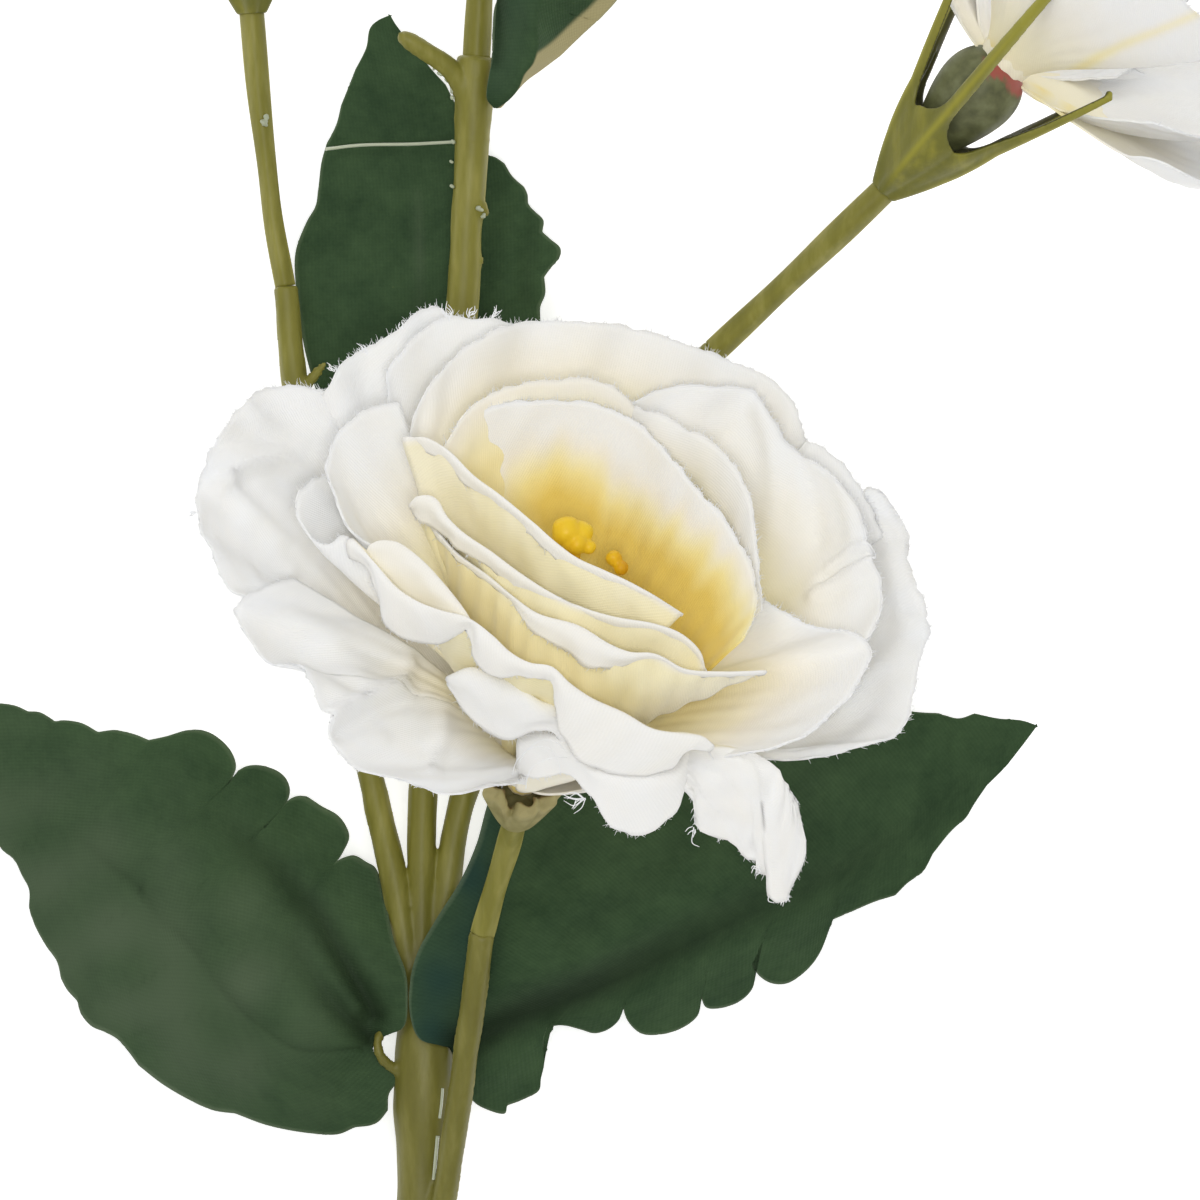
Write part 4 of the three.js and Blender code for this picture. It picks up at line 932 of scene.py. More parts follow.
# Tufts as (place, degrees that they point to on the plan, spread, hairs, length).
tufts = [
    ((58.5, 40.1, 48.4), 195, 38, 12, 2.6), ((45, 88, 54), 118, 30, 9, 1.7),
    ((47, 88.2, 54), 60, 45, 7, 1.1), ((49.3, 88, 54), 55, 24, 9, 1.5), ((40.4, 87, 54), 100, 40, 7, 1.0),
    ((36.7, 84.7, 52), 140, 35, 8, 1.2), ((33.5, 82.8, 50), 150, 40, 6, 0.9),
    ((69.4, 37.2, 47.4), 230, 30, 6, 0.9), ((75.8, 33.4, 45.6), 225, 35, 6, 0.9),
    ((78.6, 30.8, 43.6), 262, 30, 9, 1.3), ((19.6, 68.9, 40), 215, 40, 8, 1.1),
]


def tuftHairs(random, place, heading, spread, hairs, length):
    lines = []
    for _ in range(hairs):
        turn = math.radians(heading + random.uniform(-spread, spread))
        reach = length * random.uniform(0.5, 1)
        bend = reach * random.uniform(-0.35, 0.35)
        ahead = np.array([math.cos(turn), math.sin(turn), random.uniform(-0.2, 0.3)])
        aside = np.array([-ahead[1], ahead[0], 0])
        start = np.asarray(place) + random.normal(0, 0.12, 3)
        lines.append([start, start + 0.5 * reach * ahead + bend * aside, start + reach * ahead])
    return lines


def makeLooseThreads():
    parts = []
    random = np.random.default_rng(11)
    hairs = [hair for tuft in tufts for hair in tuftHairs(random, *tuft)]
    for line in looseThreads + hairs:
        path = smoothCurve(line, 8 * len(line))
        parts.append(tube(path, fray["threadRadius"] * (1 - 0.5 * np.linspace(0, 1, len(path)) ** 4), 5))
    petalSolid("main_bloom_loose_threads", "main_bloom_petals", *joined(parts))


makeMainBloom()
makeLooseThreads()
makeHeart("main_bloom_heart", "main_bloom_petals", mainBloom, 1.4, 0.9)
print("main bloom made")


# side bloom

sideBloom = bloomFrame(places["sideBloomFoot"], 47, 12, 4.2, sideSeatHeight + 3.2)
sideRings = [
    dict(count=3, start=20, step=120, layer=0, width=140, radius=8, height=36, flare=-10, belly=0.1,
         tint=0.5, fade=(0.1, 0.9)),
    dict(count=4, start=60, step=90, layer=1.6, width=105, radius=12, height=36, flare=12, belly=0.1,
         tint=0.25, fade=(0.1, 0.9)),
    dict(count=1, start=264, layer=3.4, width=164, radius=20.5, height=39, flare=30, belly=0.05,
         rounding=0.25, reach=0.22, level=0.0, tint=0.36, fade=(0.1, 0.9), ruffle=0.15, crumple=0.03),
    dict(count=1, start=24, layer=2.6, width=78, radius=28.5, height=25, flare=64, belly=1.1, rounding=0.3,
         reach=0.22, level=0.0, tint=0.3, fade=(0.05, 0.6), ruffle=0.15, crumple=0.03),
    dict(count=2, start=95, step=60, layer=3, width=84, radius=29, height=27, flare=60, belly=0.3,
         reach=0.05, tint=0.2, fade=(0.1, 0.7)),
    dict(count=1, start=41, layer=4, width=98, radius=30, height=30, flare=50, belly=0.4, reach=0.02,
         tint=0.1, fade=(0.1, 0.6)),
]


def fanPetal(bloom, petal, turn):
    # a rounded fan centred on its turn
    rootRadius, rootHeight = bloom["rootRadius"], bloom["rootHeight"]
    u = np.arange(9) / 8
    fullness = np.sin(math.pi * (0.08 + 0.84 * u)) ** petal.get("rounding", 0.6)
    wave = 1 + 0.04 * np.sin(5 * math.pi * u + turn)
    rim = turnedPoint(bloom, turn + petal["width"] * (u - 0.5),
                      rootRadius + (petal["radius"] - rootRadius) * fullness * wave,
                      rootHeight + (petal["height"] - rootHeight) * (0.25 + 0.75 * fullness))
    half = petal["width"] / 2
    return dict(petal, rim=rim, turns=(turn - half, turn + half))


# Yellow lines along the overlaps, on the plan, and how broad they are.
sideSeams = [
    ([(103, 109.4), (104.4, 111.2), (107, 112.7), (112, 115.4), (116, 117), (122, 119.6)], 0.55),
    ([(101.5, 109), (103.4, 107.6), (108, 109.6)], 0.5), ([(95, 112), (97.5, 114.5), (99, 115.2)], 0.7),
]


def makeSideBloom():
    grids = []
    for ring in sideRings:
        for i in range(ring["count"]):
            number = len(grids) + 1
            petal = fanPetal(sideBloom, ring, ring["start"] + ring.get("step", 0) * i)
            grid, warmth = petalGrid(sideBloom, petal, 490 + 10 * number)
            for line, breadth in sideSeams:
                away = distanceTo(line, grid)[0]
                warmth = warmth + 0.3 * np.exp(-(away / breadth) ** 2) * (grid[..., 2] > sideBloom["foot"][2])
            petalSheet(f"side_bloom_petal_{number:02d}", "side_bloom_petals", grid, warmth, 17 * number)
            grids.append(grid)
    frayHairs("side_bloom_fray", "side_bloom_petals", grids, 8)


makeSideBloom()
makeHeart("side_bloom_heart", "side_bloom_petals", sideBloom, 2.2, 0.3)
print("side bloom made")


# buds

budMake = {
    "petals": 4,
    "wrap": 150,  # degrees that each petal covers
    "winding": 110,  # degrees that a petal's edge turns from foot to tip
    "step": 0.8,  # mm that a free edge stands out
}
leftBud = bloomFrame(places["leftBudFoot"], 93, 0, 1.5, calyxHeight + seatGap)
topBud = bloomFrame(places["topBudFoot"], 90, 0, 1.5, calyxHeight + seatGap)


def budSwell(t):
    return 0.3 + 0.7 * np.sin(math.pi * (0.02 + 0.96 * t)) ** 1.1


def makeBud(name, bud, radius, length, seed):
    # petals wound round the bud, each with a free edge over the next one
    node = name + "_petals"
    grids = []
    t = np.linspace(0, 1, 56)[:, None]
    a = np.linspace(0, 1, 60)[None, :]
    x, y = a * radius * 2.6, t * length
    for k in range(budMake["petals"]):
        turn = 360 / budMake["petals"] * k + budMake["winding"] * t - budMake["wrap"] * (1 - a)
        tuck = budMake["step"] * np.minimum(1, 4 * t) * (1 - a)
        out = radius * budSwell(t) - 1.6 * t ** 4 - tuck - 0.2
        out = out + 0.12 * ripple(x, y, (3, 8), seed + k) * smoothStep(0.1, 0.4, t)
        out = out + 0.25 * smoothStep(0.85, 1, a) * np.sin(y / 1.7 + k)
        top = bud["rootHeight"] + length * (t - 0.06 * (1 - a) * smoothStep(0.8, 1, t))
        grid = turnedPoint(bud, turn, np.maximum(out, 0.25), top)
        warmth = 0.3 * (1 - smoothStep(0.0, 0.7, t))
        petalSheet(f"{name}_petal_{k + 1}", node, grid, warmth, 30 * k)
        grids.append(np.swapaxes(grid, 0, 1))
    frayHairs(name + "_fray", node, grids, seed)
    core = np.linspace(0, 1, 20)
    path = turnedPoint(bud, 0, 0 * core, bud["rootHeight"] + length * 0.93 * core)
    radii = np.maximum(0.8 * radius * budSwell(core) - 0.9, 0.5)
    petalSolid(name + "_core", node, *tube(path, radii, 32), 0.15)


makeBud("left_bud", leftBud, 6.2, 23, 31)
makeBud("top_bud", topBud, 5.4, 21, 41)
print("buds made")


# calyxes, seat and pistil

calyxMake = {
    "footRadius": 1.15,
    "strapHalfWidth": (0.6, 0.25),
    "tipRadius": 0.42,
    "webReach": 38,  # degrees that a web spreads to each side of its strap
    "thickness": 0.6,
    "ridge": 0.4,
    "bulge": 0.55,
    "closing": 0.05,
    "voxel": 0.17,
}
# Straps as (turn, tip height, web before it, web after it). A web is the height where it ends and the
# length over which it narrows to its strap.
openStraps = [
    (206, 25, (8.5, 3), (8.6, 3)),
    (264, 33, (9.6, 3), (8.6, 3)),
    (342, 23.5, (8.6, 9), (8, 4)),
    (24, 17.5, (8, 4), (8, 3)),
    (150, 20, (8, 3), (9.5, 5)),
]
budStraps = [(turn, 15, (8, 3), (8, 3)) for turn in (198, 270, 342, 30, 150)]


def calyxRadius(height):
    # a cone that is full near its foot and closes a little towards the strap tips
    cone = height * math.tan(sepalHalfAngle) * (1 - calyxMake["closing"] * (height / 24) ** 2)
    return calyxMake["footRadius"] + cone + calyxMake["bulge"] * np.sin(math.pi * np.clip(height / 11, 0, 1))


def strapGrid(bloom, turn, tip, before, after):
    # one fifth of a calyx: a web that narrows in a round mouth to a strap with a ridge down its middle
    rows, columns = 90, 31
    height = np.linspace(0, tip, rows)[:, None]
    s = np.linspace(-1, 1, columns)[None, :]
    radius = calyxRadius(height)
    wide, narrow = calyxMake["strapHalfWidth"]
    share = np.clip((height - calyxHeight) / (tip - calyxHeight), 0, 1)
    strap = wide + (narrow - wide) * share ** 2
    web = math.radians(calyxMake["webReach"]) * radius
    webHeight, mouth = [np.where(s < 0, before[i], after[i]) for i in range(2)]
    opened = np.clip((height - webHeight) / mouth, 0, 1)
    half = web + (strap - web) * np.sqrt(1 - (1 - opened) ** 2)
    tuck = 0.3 * (1 - share) ** 4
    out = radius - tuck + calyxMake["ridge"] * np.exp(-(s * half / 0.5) ** 2) - 0.3 * np.abs(s) ** 3
    return turnedPoint(bloom, turn + np.degrees(s * half / radius), out, height + 0 * s)


def makeCalyx(node, bloom, straps):
    parts = []
    for turn, tip, before, after in straps:
        parts.append(sheetSkin(strapGrid(bloom, turn, tip, before, after), calyxMake["thickness"]))
        parts.append(ball(turnedPoint(bloom, turn, calyxRadius(tip), tip), calyxMake["tipRadius"]))
    t = np.linspace(0, 1, 8)
    parts.append(tube(turnedPoint(bloom, 0, 0 * t, 2.5 * t - 0.1), calyxMake["footRadius"] + 0.7 * t, 24))
    points, normals, faces = fusedSkin(parts, calyxMake["voxel"], 3)
    height, aside = heightAndSide(bloom, points)
    turn = np.degrees(np.arctan2(aside @ bloom["under"], aside @ bloom["right"]))
    nearest = np.min([np.abs((turn - strap[0] + 180) % 360 - 180) for strap in straps], axis=0)
    away = np.radians(nearest) * np.linalg.norm(aside, axis=1)
    pale = np.maximum(np.exp(-(away / 0.4) ** 2) * smoothStep(1, 5, height), smoothStep(10, 26, height))
    # painted shade on the inner faces of the cup, which face the axis
    deepTone_and_paintedShade = smoothStep(0.1, -0.5, np.sum(normals * unit(aside), axis=1)) * smoothStep(3, 6, height)
    makePiece(node + "_moulding", node, sepalLook, points, faces, {"pale": 0.8 * pale, "deepTone_and_paintedShade": 0.9 * deepTone_and_paintedShade})


makeCalyx("side_bloom_calyx", sideBloom, openStraps)
makeCalyx("left_bud_calyx", leftBud, budStraps)
makeCalyx("top_bud_calyx", topBud, budStraps)
print("calyxes made")

tornCalyx = {
    "footRadius": 1.35,
    "rimHeight": 5.8,
    "rimRadius": 3.9,
    "tear": 1.1,  # mm that the torn rim rises and falls
    "tearTurn": 262,
    "thickness": 0.45,
    "voxel": 0.12,
}


def makeTornCalyx():
    # a thin moulded cup whose rim has split, crumpled and folded in
    foot, tear = tornCalyx["footRadius"], tornCalyx["tear"]
    t = np.linspace(0, 1, 60)[:, None]
    turn = np.linspace(0, 360, 160)[None, :]
    angle = np.radians(turn)
    apart = np.abs((turn - tornCalyx["tearTurn"] + 180) % 360 - 180)
    rim = tornCalyx["rimHeight"] + tear * 0.3 * (np.sin(5 * angle + 1) + 0.6 * np.sin(11 * angle))
    rim = rim - tear * np.exp(-(apart / 9) ** 2)
    crumple = 0.3 * np.sin(5 * angle + 2) + 0.2 * np.sin(9 * angle) + 0.12 * np.sin(17 * angle + 1)
    radius = foot + (tornCalyx["rimRadius"] - foot) * t ** 0.75 + crumple * t ** 1.5
    radius = radius - 0.5 * np.exp(-(apart / 6) ** 2) * t
    radius = radius - smoothStep(0.86, 1.0, t) * (1.0 + 0.4 * np.sin(7 * angle))
    grid = turnedPoint(mainBloom, turn, radius, rim * t)
    grid[:, -1] = grid[:, 0]
    t = np.linspace(0, 1, 8)
    plug = tube(turnedPoint(mainBloom, 0, 0 * t, 1.9 * t - 0.1), foot + 0.5 * t, 24)
    points, normals, faces = fusedSkin([sheetSkin(grid, tornCalyx["thickness"]), plug], tornCalyx["voxel"], 2)
    height, aside = heightAndSide(mainBloom, points)
    cloud = smoothStep(0, 1, ripple(points[:, 0], points[:, 1], (0.8, 2), 5))
    # painted shade on the inner faces of the cup, where its torn folds lie in shadow
    deepTone_and_paintedShade = smoothStep(0.1, -0.4, np.sum(normals * unit(aside), axis=1)) * smoothStep(2, 3.5, height)
    makePiece("main_bloom_torn_calyx", "main_bloom_calyx", tornLook, points, faces,
              {"pale": 0.7 * smoothStep(3.6, 5.6, height) + 0.3 * cloud, "deepTone_and_paintedShade": 0.7 * deepTone_and_paintedShade})


makeTornCalyx()

seatMake = {
    "profile": [(5.3, 1.6), (7.5, 2.4), (10, 3.3), (12, 3.9), (14, 4.2), (15.8, 4), (17.2, 3.3), (18, 2.3),
        (18.4, 0.9)],
    "stain": [(99.6, 113.4), (101.2, 113), (102.1, 111.6)],
    "stainBreadth": (0.9, 1.5),
}


def makeSeat():
    height, radius, _ = smoothCurve(raised(seatMake["profile"]), 50).T
    turn = np.linspace(0, math.tau, 64, endpoint=False)
    radii = radius[:, None] * (1 + 0.025 * np.sin(5 * turn + 0.4))
    corners, faces = tube(turnedPoint(sideBloom, 0, 0 * height, height), radii, 64)
    away = distanceTo(seatMake["stain"], corners)[0]
    rough = 0.25 * ripple(corners[:, 0], corners[:, 1], (0.5, 1.5), 3)
    stain = (1 - smoothStep(*seatMake["stainBreadth"], away + rough)) * (corners[:, 2] > sideBloom["foot"][2])
    makePiece("side_bloom_dome", "side_bloom_seat", seatLook, corners, faces, {"stain": stain})


makeSeat()

# The style is a line and its radius; a lobe is (place, radius, paleness). Places are seen points.
pistilMake = {
    "style": [(1.6, 9.2, 13.2), (3.6, 18, 23), (6.3, 28, 33.5)],
    "styleRadius": 0.7,
    "lobes": [((5.2, 28.8, 34.1), 1.55, 0.7), ((6.6, 28.7, 33.9), 1.25, 0.8), ((5.6, 27.8, 33.6), 1.0, 0.0),
        ((6.2, 27.6, 33.6), 1.15, 0.4), ((7.3, 27.3, 33.4), 0.8, 0.6), ((9.9, 26.1, 32.6), 0.85, 0.0),
        ((10.6, 25.2, 32.2), 0.75, 0.0)],
    "voxel": 0.12,
}


def makePistil():
    style = smoothCurve([seenPoint(mainBloom, point) for point in pistilMake["style"]], 24)
    parts = [tube(style, np.full(24, pistilMake["styleRadius"]), 16)]
    parts += [ball(seenPoint(mainBloom, point), radius, 14, 20) for point, radius, _ in pistilMake["lobes"]]
    points, normals, faces = fusedSkin(parts, pistilMake["voxel"], 3)
    pale = np.zeros(len(points))
    for point, radius, amount in pistilMake["lobes"]:
        away = np.linalg.norm(points - seenPoint(mainBloom, point), axis=1)
        pale = np.maximum(pale, amount * (1 - smoothStep(radius, radius + 0.6, away)))
    points = roughened(points, normals, 0.06, (1.2, 2.4), 9)
    makePiece("main_bloom_stigma", "main_bloom_pistil", pistilLook, points, faces, {"pale": pale})


makePistil()
print("seat and pistil made")


# leaves

leafMake = {
    "thickness": 0.35,
    "rows": 420,
    "acrossHalf": 24,
    "veins": 9,
    "veinDepth": 0.1,
    "tipOpening": 0.2,
    "lowest": 0.4,
    "cutEdge": 0.25,
    "wave": 0.3,
    "waves": (16, 34),  # mm from crest to crest, here and below
    "cockle": 0.07,
    "cockles": (4, 9),
    "patches": (5, 12),
}

# Margins run from base to tip and are lists of lobes, which meet in a notch: each lobe starts at the end of
# the one before. Heights are points of the unfolded leaf. A fold is (line on the plan, breadth, depth at
# its start, depth at its end); a sunken fold also gets painted shade along it. Grey and the teal tint are
# (from, to, breadth, amount); the teal tint is painted shade.
leaves = {
    "lower_left_leaf": dict(
        midrib=[(37.2, 15), (30, 15), (28, 16), (24, 19), (21.3, 22.7), (18.7, 25.7), (16, 28.2), (14, 31),
            (11.3, 33.2), (8.7, 35.3), (0, 41), (-10, 46)],
        left=[[(37.2, 15.3), (38.6, 16.4), (40.3, 17.2), (40.7, 20.2), (40.5, 22.6), (39.3, 25.8),
             (38.2, 31), (37.4, 33.1), (36.6, 33.6), (35.3, 34.3), (34.3, 34.1), (33.5, 33.7)],
            [(34.3, 34.9), (34.8, 36.2), (34.4, 37.4), (33.6, 38.4), (32, 39.3), (30.3, 40.3), (29.2, 40.2),
             (28.5, 39.7), (27.7, 38.7)],
            [(28.6, 39.9), (28.8, 41), (28.3, 42.2), (27.2, 43), (25.2, 43.4), (23.9, 43), (22.8, 41.6)],
            [(23.4, 43.2), (22.9, 44.8), (21.4, 46.3), (20, 46.9), (18.5, 46.9), (16.5, 46.3),
             (14.7, 45.9)],
            [(13.2, 46.5), (11.3, 46.9), (9.6, 46.7)], [(8, 47.6), (6.2, 47.9), (5.3, 47.8)],
            [(3.8, 48.7), (2.6, 48.8)], [(1.2, 49.4), (-1.5, 49.6), (-6, 48.6), (-10, 46)]],
        right=[[(37.2, 14.7), (38.6, 13.3), (39.6, 11.8), (38.8, 10.4), (38.7, 8.8)],
            [(37.8, 7.7), (37, 7.3), (35.4, 7.1)], [(33.7, 6.4), (31, 6.5), (26.7, 7.3), (23.4, 8.5)],
            [(21.2, 8.8), (18.7, 9.9), (16, 11.5), (13.7, 13.3)], [(12.6, 14.8), (11.5, 16), (10.2, 16.7)],
            [(9, 17.2), (8, 18.3), (7.5, 19.8)], [(6.5, 20.9), (5.9, 22)],
            [(5.5, 23.7), (4.4, 25.3), (3.3, 27.3), (2.7, 29)], [(2.7, 31), (2, 32.4)],
            [(1.2, 34), (0, 35), (-1.2, 37), (-4, 41), (-10, 46)]],
        heights=[(38, 14.5, 10), (29, 15.5, 13), (22.4, 20.4, 13.5), (14.7, 30.6, 13), (9.2, 35.2, 12),
            (0, 41, 10), (-10, 46, 7), (40.6, 18.5, 13.2), (40.6, 21.5, 13), (38.8, 27.5, 9.5),
            (33.4, 34.1, 7), (27.7, 38.8, 9), (22.7, 41.9, 10), (15, 45.9, 10.5), (3.7, 48.3, 9.5),
            (38.5, 9, 9), (36.5, 7.1, 8.5), (28, 6.9, 7), (20.5, 9.6, 6), (13.4, 14, 5.5), (6, 22.5, 5),
            (2.6, 29.5, 5.5)],
        folds=[([(36.9, 16.2), (33.5, 19.5), (30.5, 23.5), (28.5, 27)], 1.3, -1.7, 0),
            ([(37.4, 18.5), (34, 24), (31.3, 28.6), (27.5, 33), (22, 38)], 1.4, -1.9, -0.2),
            ([(35.5, 19), (33, 23), (31, 27.5)], 0.9, 1.0, 0.3),
            ([(14, 31), (11.3, 33.2), (7, 36.4)], 0.5, -0.5, -0.1),
            ([(36, 15), (30, 15), (24, 19), (18.7, 25.7), (14, 31)], 0.35, -0.35, -0.35),
            ([(26, 30), (18, 36), (8, 42)], 2.5, 0.5, 0.3),
            ([(30, 11), (20, 15), (12, 22)], 2.5, 0.4, 0.3)],
        grey=((20, 20), (-4, 34), 13.0, 0.75), thread=35, seed=61),
    "lower_right_leaf": dict(
        midrib=[(45.2, 14.6), (49, 17.2), (59.8, 21.2), (71.7, 27), (80, 31), (89, 37), (96, 42),
            (103.9, 47.4)],
        left=[[(44.9, 15.2), (43.6, 15.4), (41.9, 16), (41, 18.2), (40.9, 21), (41.6, 24.3), (43.5, 27.8),
             (46, 31.8), (47.6, 35.4), (49.2, 40.6), (52, 44), (57.5, 46), (66, 47.5), (75, 48.2),
             (83, 48.7), (90.6, 48.9)],
            [(92, 48.7), (94, 48.6)], [(96, 48.1), (97.6, 48.6)],
            [(100, 48.1), (102.4, 47.9), (103.9, 47.4)]],
        right=[[(45.3, 14.2), (46, 12), (47.2, 9.8), (48.4, 9), (50.4, 8.5), (50.6, 9.3)],
            [(52, 9.8), (53.8, 10.8), (54, 12)], [(54.3, 13.4), (54.2, 15.8), (54.7, 17.3)],
            [(56.4, 17.4), (58, 17), (59.4, 16.6), (60.8, 17), (61.9, 18), (62.3, 19.2)],
            [(62.7, 17.9), (64, 16.6), (65.6, 16.4), (68, 17), (69.8, 18.4), (70.1, 20.2)],
            [(70.6, 19.2), (72, 19.1), (74, 19.8), (75.2, 21), (75.5, 22.2), (75.2, 23.6)],
            [(75.9, 22.4), (77.2, 21.6), (78.8, 21.6), (80.8, 23), (82, 24.6), (82.9, 26.8), (83.3, 28)],
            [(85.2, 28.8), (87.6, 29.8), (89.6, 30.4)], [(90.8, 31.6), (92.4, 32.8), (93.4, 34.6)],
            [(95.2, 36.8), (96.8, 38.2)], [(97.6, 39.6), (98.8, 41.4)],
            [(100.8, 43.4), (102.4, 45.4), (103.9, 47.4)]],
        heights=[(45.3, 14.5, 11.5), (48.5, 15.5, 12.5), (56, 19, 14), (69.5, 25, 14), (80, 31, 13.5),
            (89, 37.5, 12.5), (96, 43, 11.5), (103.9, 47.6, 11), (44, 30, 13.5), (50, 41, 12.5),
            (57.5, 45, 11.5), (66, 47, 10.5), (83, 48.7, 10), (98, 48.4, 10.5), (54.5, 16.8, 9.4),
            (62.3, 19.4, 10.5), (49, 9.5, 9), (75.1, 23.4, 10), (83.4, 27.8, 9.5), (93.5, 35.3, 10)],
        folds=[([(46, 15.5), (52, 18.4), (59.8, 21.6), (71.7, 27.4), (85.5, 34), (96, 40)], 1.9, -2.3,
             -0.1),
            ([(50, 24), (62, 29.5), (75, 34.5), (88, 40)], 3.0, 0.9, 0.2),
            ([(57, 26), (66, 33), (72, 41)], 1.6, -0.4, -0.2),
            ([(48, 12.5), (51, 13), (53, 15)], 1.5, 0.6, 0.2),
            ([(66, 25), (76, 31), (84, 38)], 1.2, -0.5, -0.1)],
        grey=((60, 40), (80, 44), 7.0, 0.15), tealShade=((43.5, 17), (48, 38), 3.0, 0.85), thread=85, seed=62),
    "upper_back_leaf": dict(
        midrib=[(44.2, 62), (43, 75), (42, 88), (41.7, 100), (40.5, 111), (38.9, 118.8)],
        left=[[(43.2, 62), (38, 68), (33.5, 76), (30.6, 84), (29.4, 91.8), (29.4, 95), (30.5, 98),
             (31.4, 99.6), (31.7, 101.5), (32, 104), (32.5, 105.8)],
            [(33.5, 107.8), (34, 109.8)], [(34.7, 111.5), (35.4, 113.3)],
            [(36.5, 115.5), (36.9, 117.5), (37.6, 118.2), (38.9, 118.8)]],
        right=[[(45.4, 62), (50.6, 71), (53.5, 78), (54, 83), (54, 88.5)],
            [(54, 89.5), (54.5, 90.8), (54.4, 92.5)],
            [(55, 93.3), (56, 94.6), (56, 95.4), (55, 96.3), (54.2, 97)], [(54.3, 98.2), (53.5, 99)],
            [(52.8, 99.8), (52.7, 100.8), (52.4, 101.5)], [(51.2, 102.6), (50.4, 103.9)],
            [(49.5, 104.5), (48.7, 104.8), (46.8, 107.5), (45.4, 110), (44.5, 111.8)],
            [(43.2, 113.2), (41.5, 115.3), (39.5, 117.8), (38.9, 118.8)]],
        heights=[(44.2, 62, 6.7), (44.2, 75, 5), (43.6, 88, 4.3), (42.3, 100, 4.2), (40, 111, 4.5),
            (38.8, 118.8, 5), (36, 72, 5), (29.9, 88, 4), (31.6, 100.5, 4), (34.3, 111.5, 4.4),
            (54, 79, 4.5), (55.8, 94.4, 4), (52.4, 101.3, 4), (44.4, 110.8, 4.5)],
        folds=[([(52.5, 90), (53, 97), (55, 101)], 1.0, -0.5, -0.2),
            ([(48.5, 86), (51, 94), (52, 100)], 1.3, 0.4, 0.1),
            ([(43, 75), (42, 88), (41.7, 100), (40.5, 111)], 0.45, 0.25, 0.1)],
        grey=((41.9, 86), (41.6, 101), 0.5, 0.35), thread=0, seed=63),
    "upper_right_leaf": dict(
        midrib=[(49.6, 109.5, 11), (50.8, 110.3, 13), (51.7, 111.4, 14.2), (52.3, 112.8, 15),
            (53.2, 114, 15.8), (53.6, 115.8, 16.4), (53.4, 117.5, 16.8), (53.6, 119.5, 17),
            (55, 122.5, 17.2), (59, 127.5, 16.6), (66, 135.5, 14.4), (74, 143, 11)],
        left=[[(49.4, 109.5, 10.8), (48.7, 110.4, 12), (48.7, 111.5, 12.8), (49, 113.2, 13.4),
             (49.2, 115, 13.6), (49.3, 117.5, 13.8), (49.6, 120, 14.2), (51.5, 124.5, 15.5),
             (56, 129.5, 17), (61, 134, 17), (67, 139.5, 14.5), (74, 143, 11)]],
        right=[[(50, 109.5, 10.8), (51.7, 111.6, 11.4), (54, 113.3, 11.4), (56, 114.8, 11.3)],
            [(58.2, 116.9, 11.2), (60, 118.5, 11.1)],
            [(61.4, 120, 11), (65, 124.5, 11), (69.5, 130, 11), (72.7, 136.5, 11), (74, 143, 11)]],
        # by the stem the left lobe is drawn out over a dark place, and the first fold paints shade on it
        folds=[([(49.8, 122), (49.8, 117), (49.5, 114.2)], 0.8, -1.6, -0.8),
            ([(51, 110.9), (52.9, 114.8), (52.7, 119.5)], 0.5, 0.3, 0.2)],
        grey=((50, 112), (52, 119), 1.5, 0.2), tealShade=((49.6, 110), (52, 120), 2.2, 0.2), thread=60, seed=64,
        khaki=(1.3, 1.8)),
}


def leafMargin(lobes, rows):
    # one smooth line per lobe, so that the notches between them stay sharp
    parts, start = [], []
    for lobe in lobes:
        parts.append(curveLine(raised(start + lobe))[len(start):])
        start = lobe[-1:]
    return evenly(np.concatenate(parts), rows)


def heightField(points):
    # the smooth sheet through the points: a thin plate spline
    points = np.asarray(points, float)
    flat, count, smoothing = points[:, :2], len(points), 0.3

    def spread(a, b):
        square = np.sum((a[:, None] - b[None]) ** 2, axis=2)
        return square * np.log(square + 1e-9) / 2

    matrix = np.zeros((count + 3, count + 3))
    matrix[:count, :count] = spread(flat, flat) + smoothing * count * np.eye(count)
    matrix[:count, count:] = np.column_stack([np.ones(count), flat])
    matrix[count:, :count] = matrix[:count, count:].T
    weights = np.linalg.solve(matrix, np.concatenate([points[:, 2], np.zeros(3)]))
    return lambda places: (spread(places, flat) @ weights[:count]
                           + weights[count] + places @ weights[count + 1:])


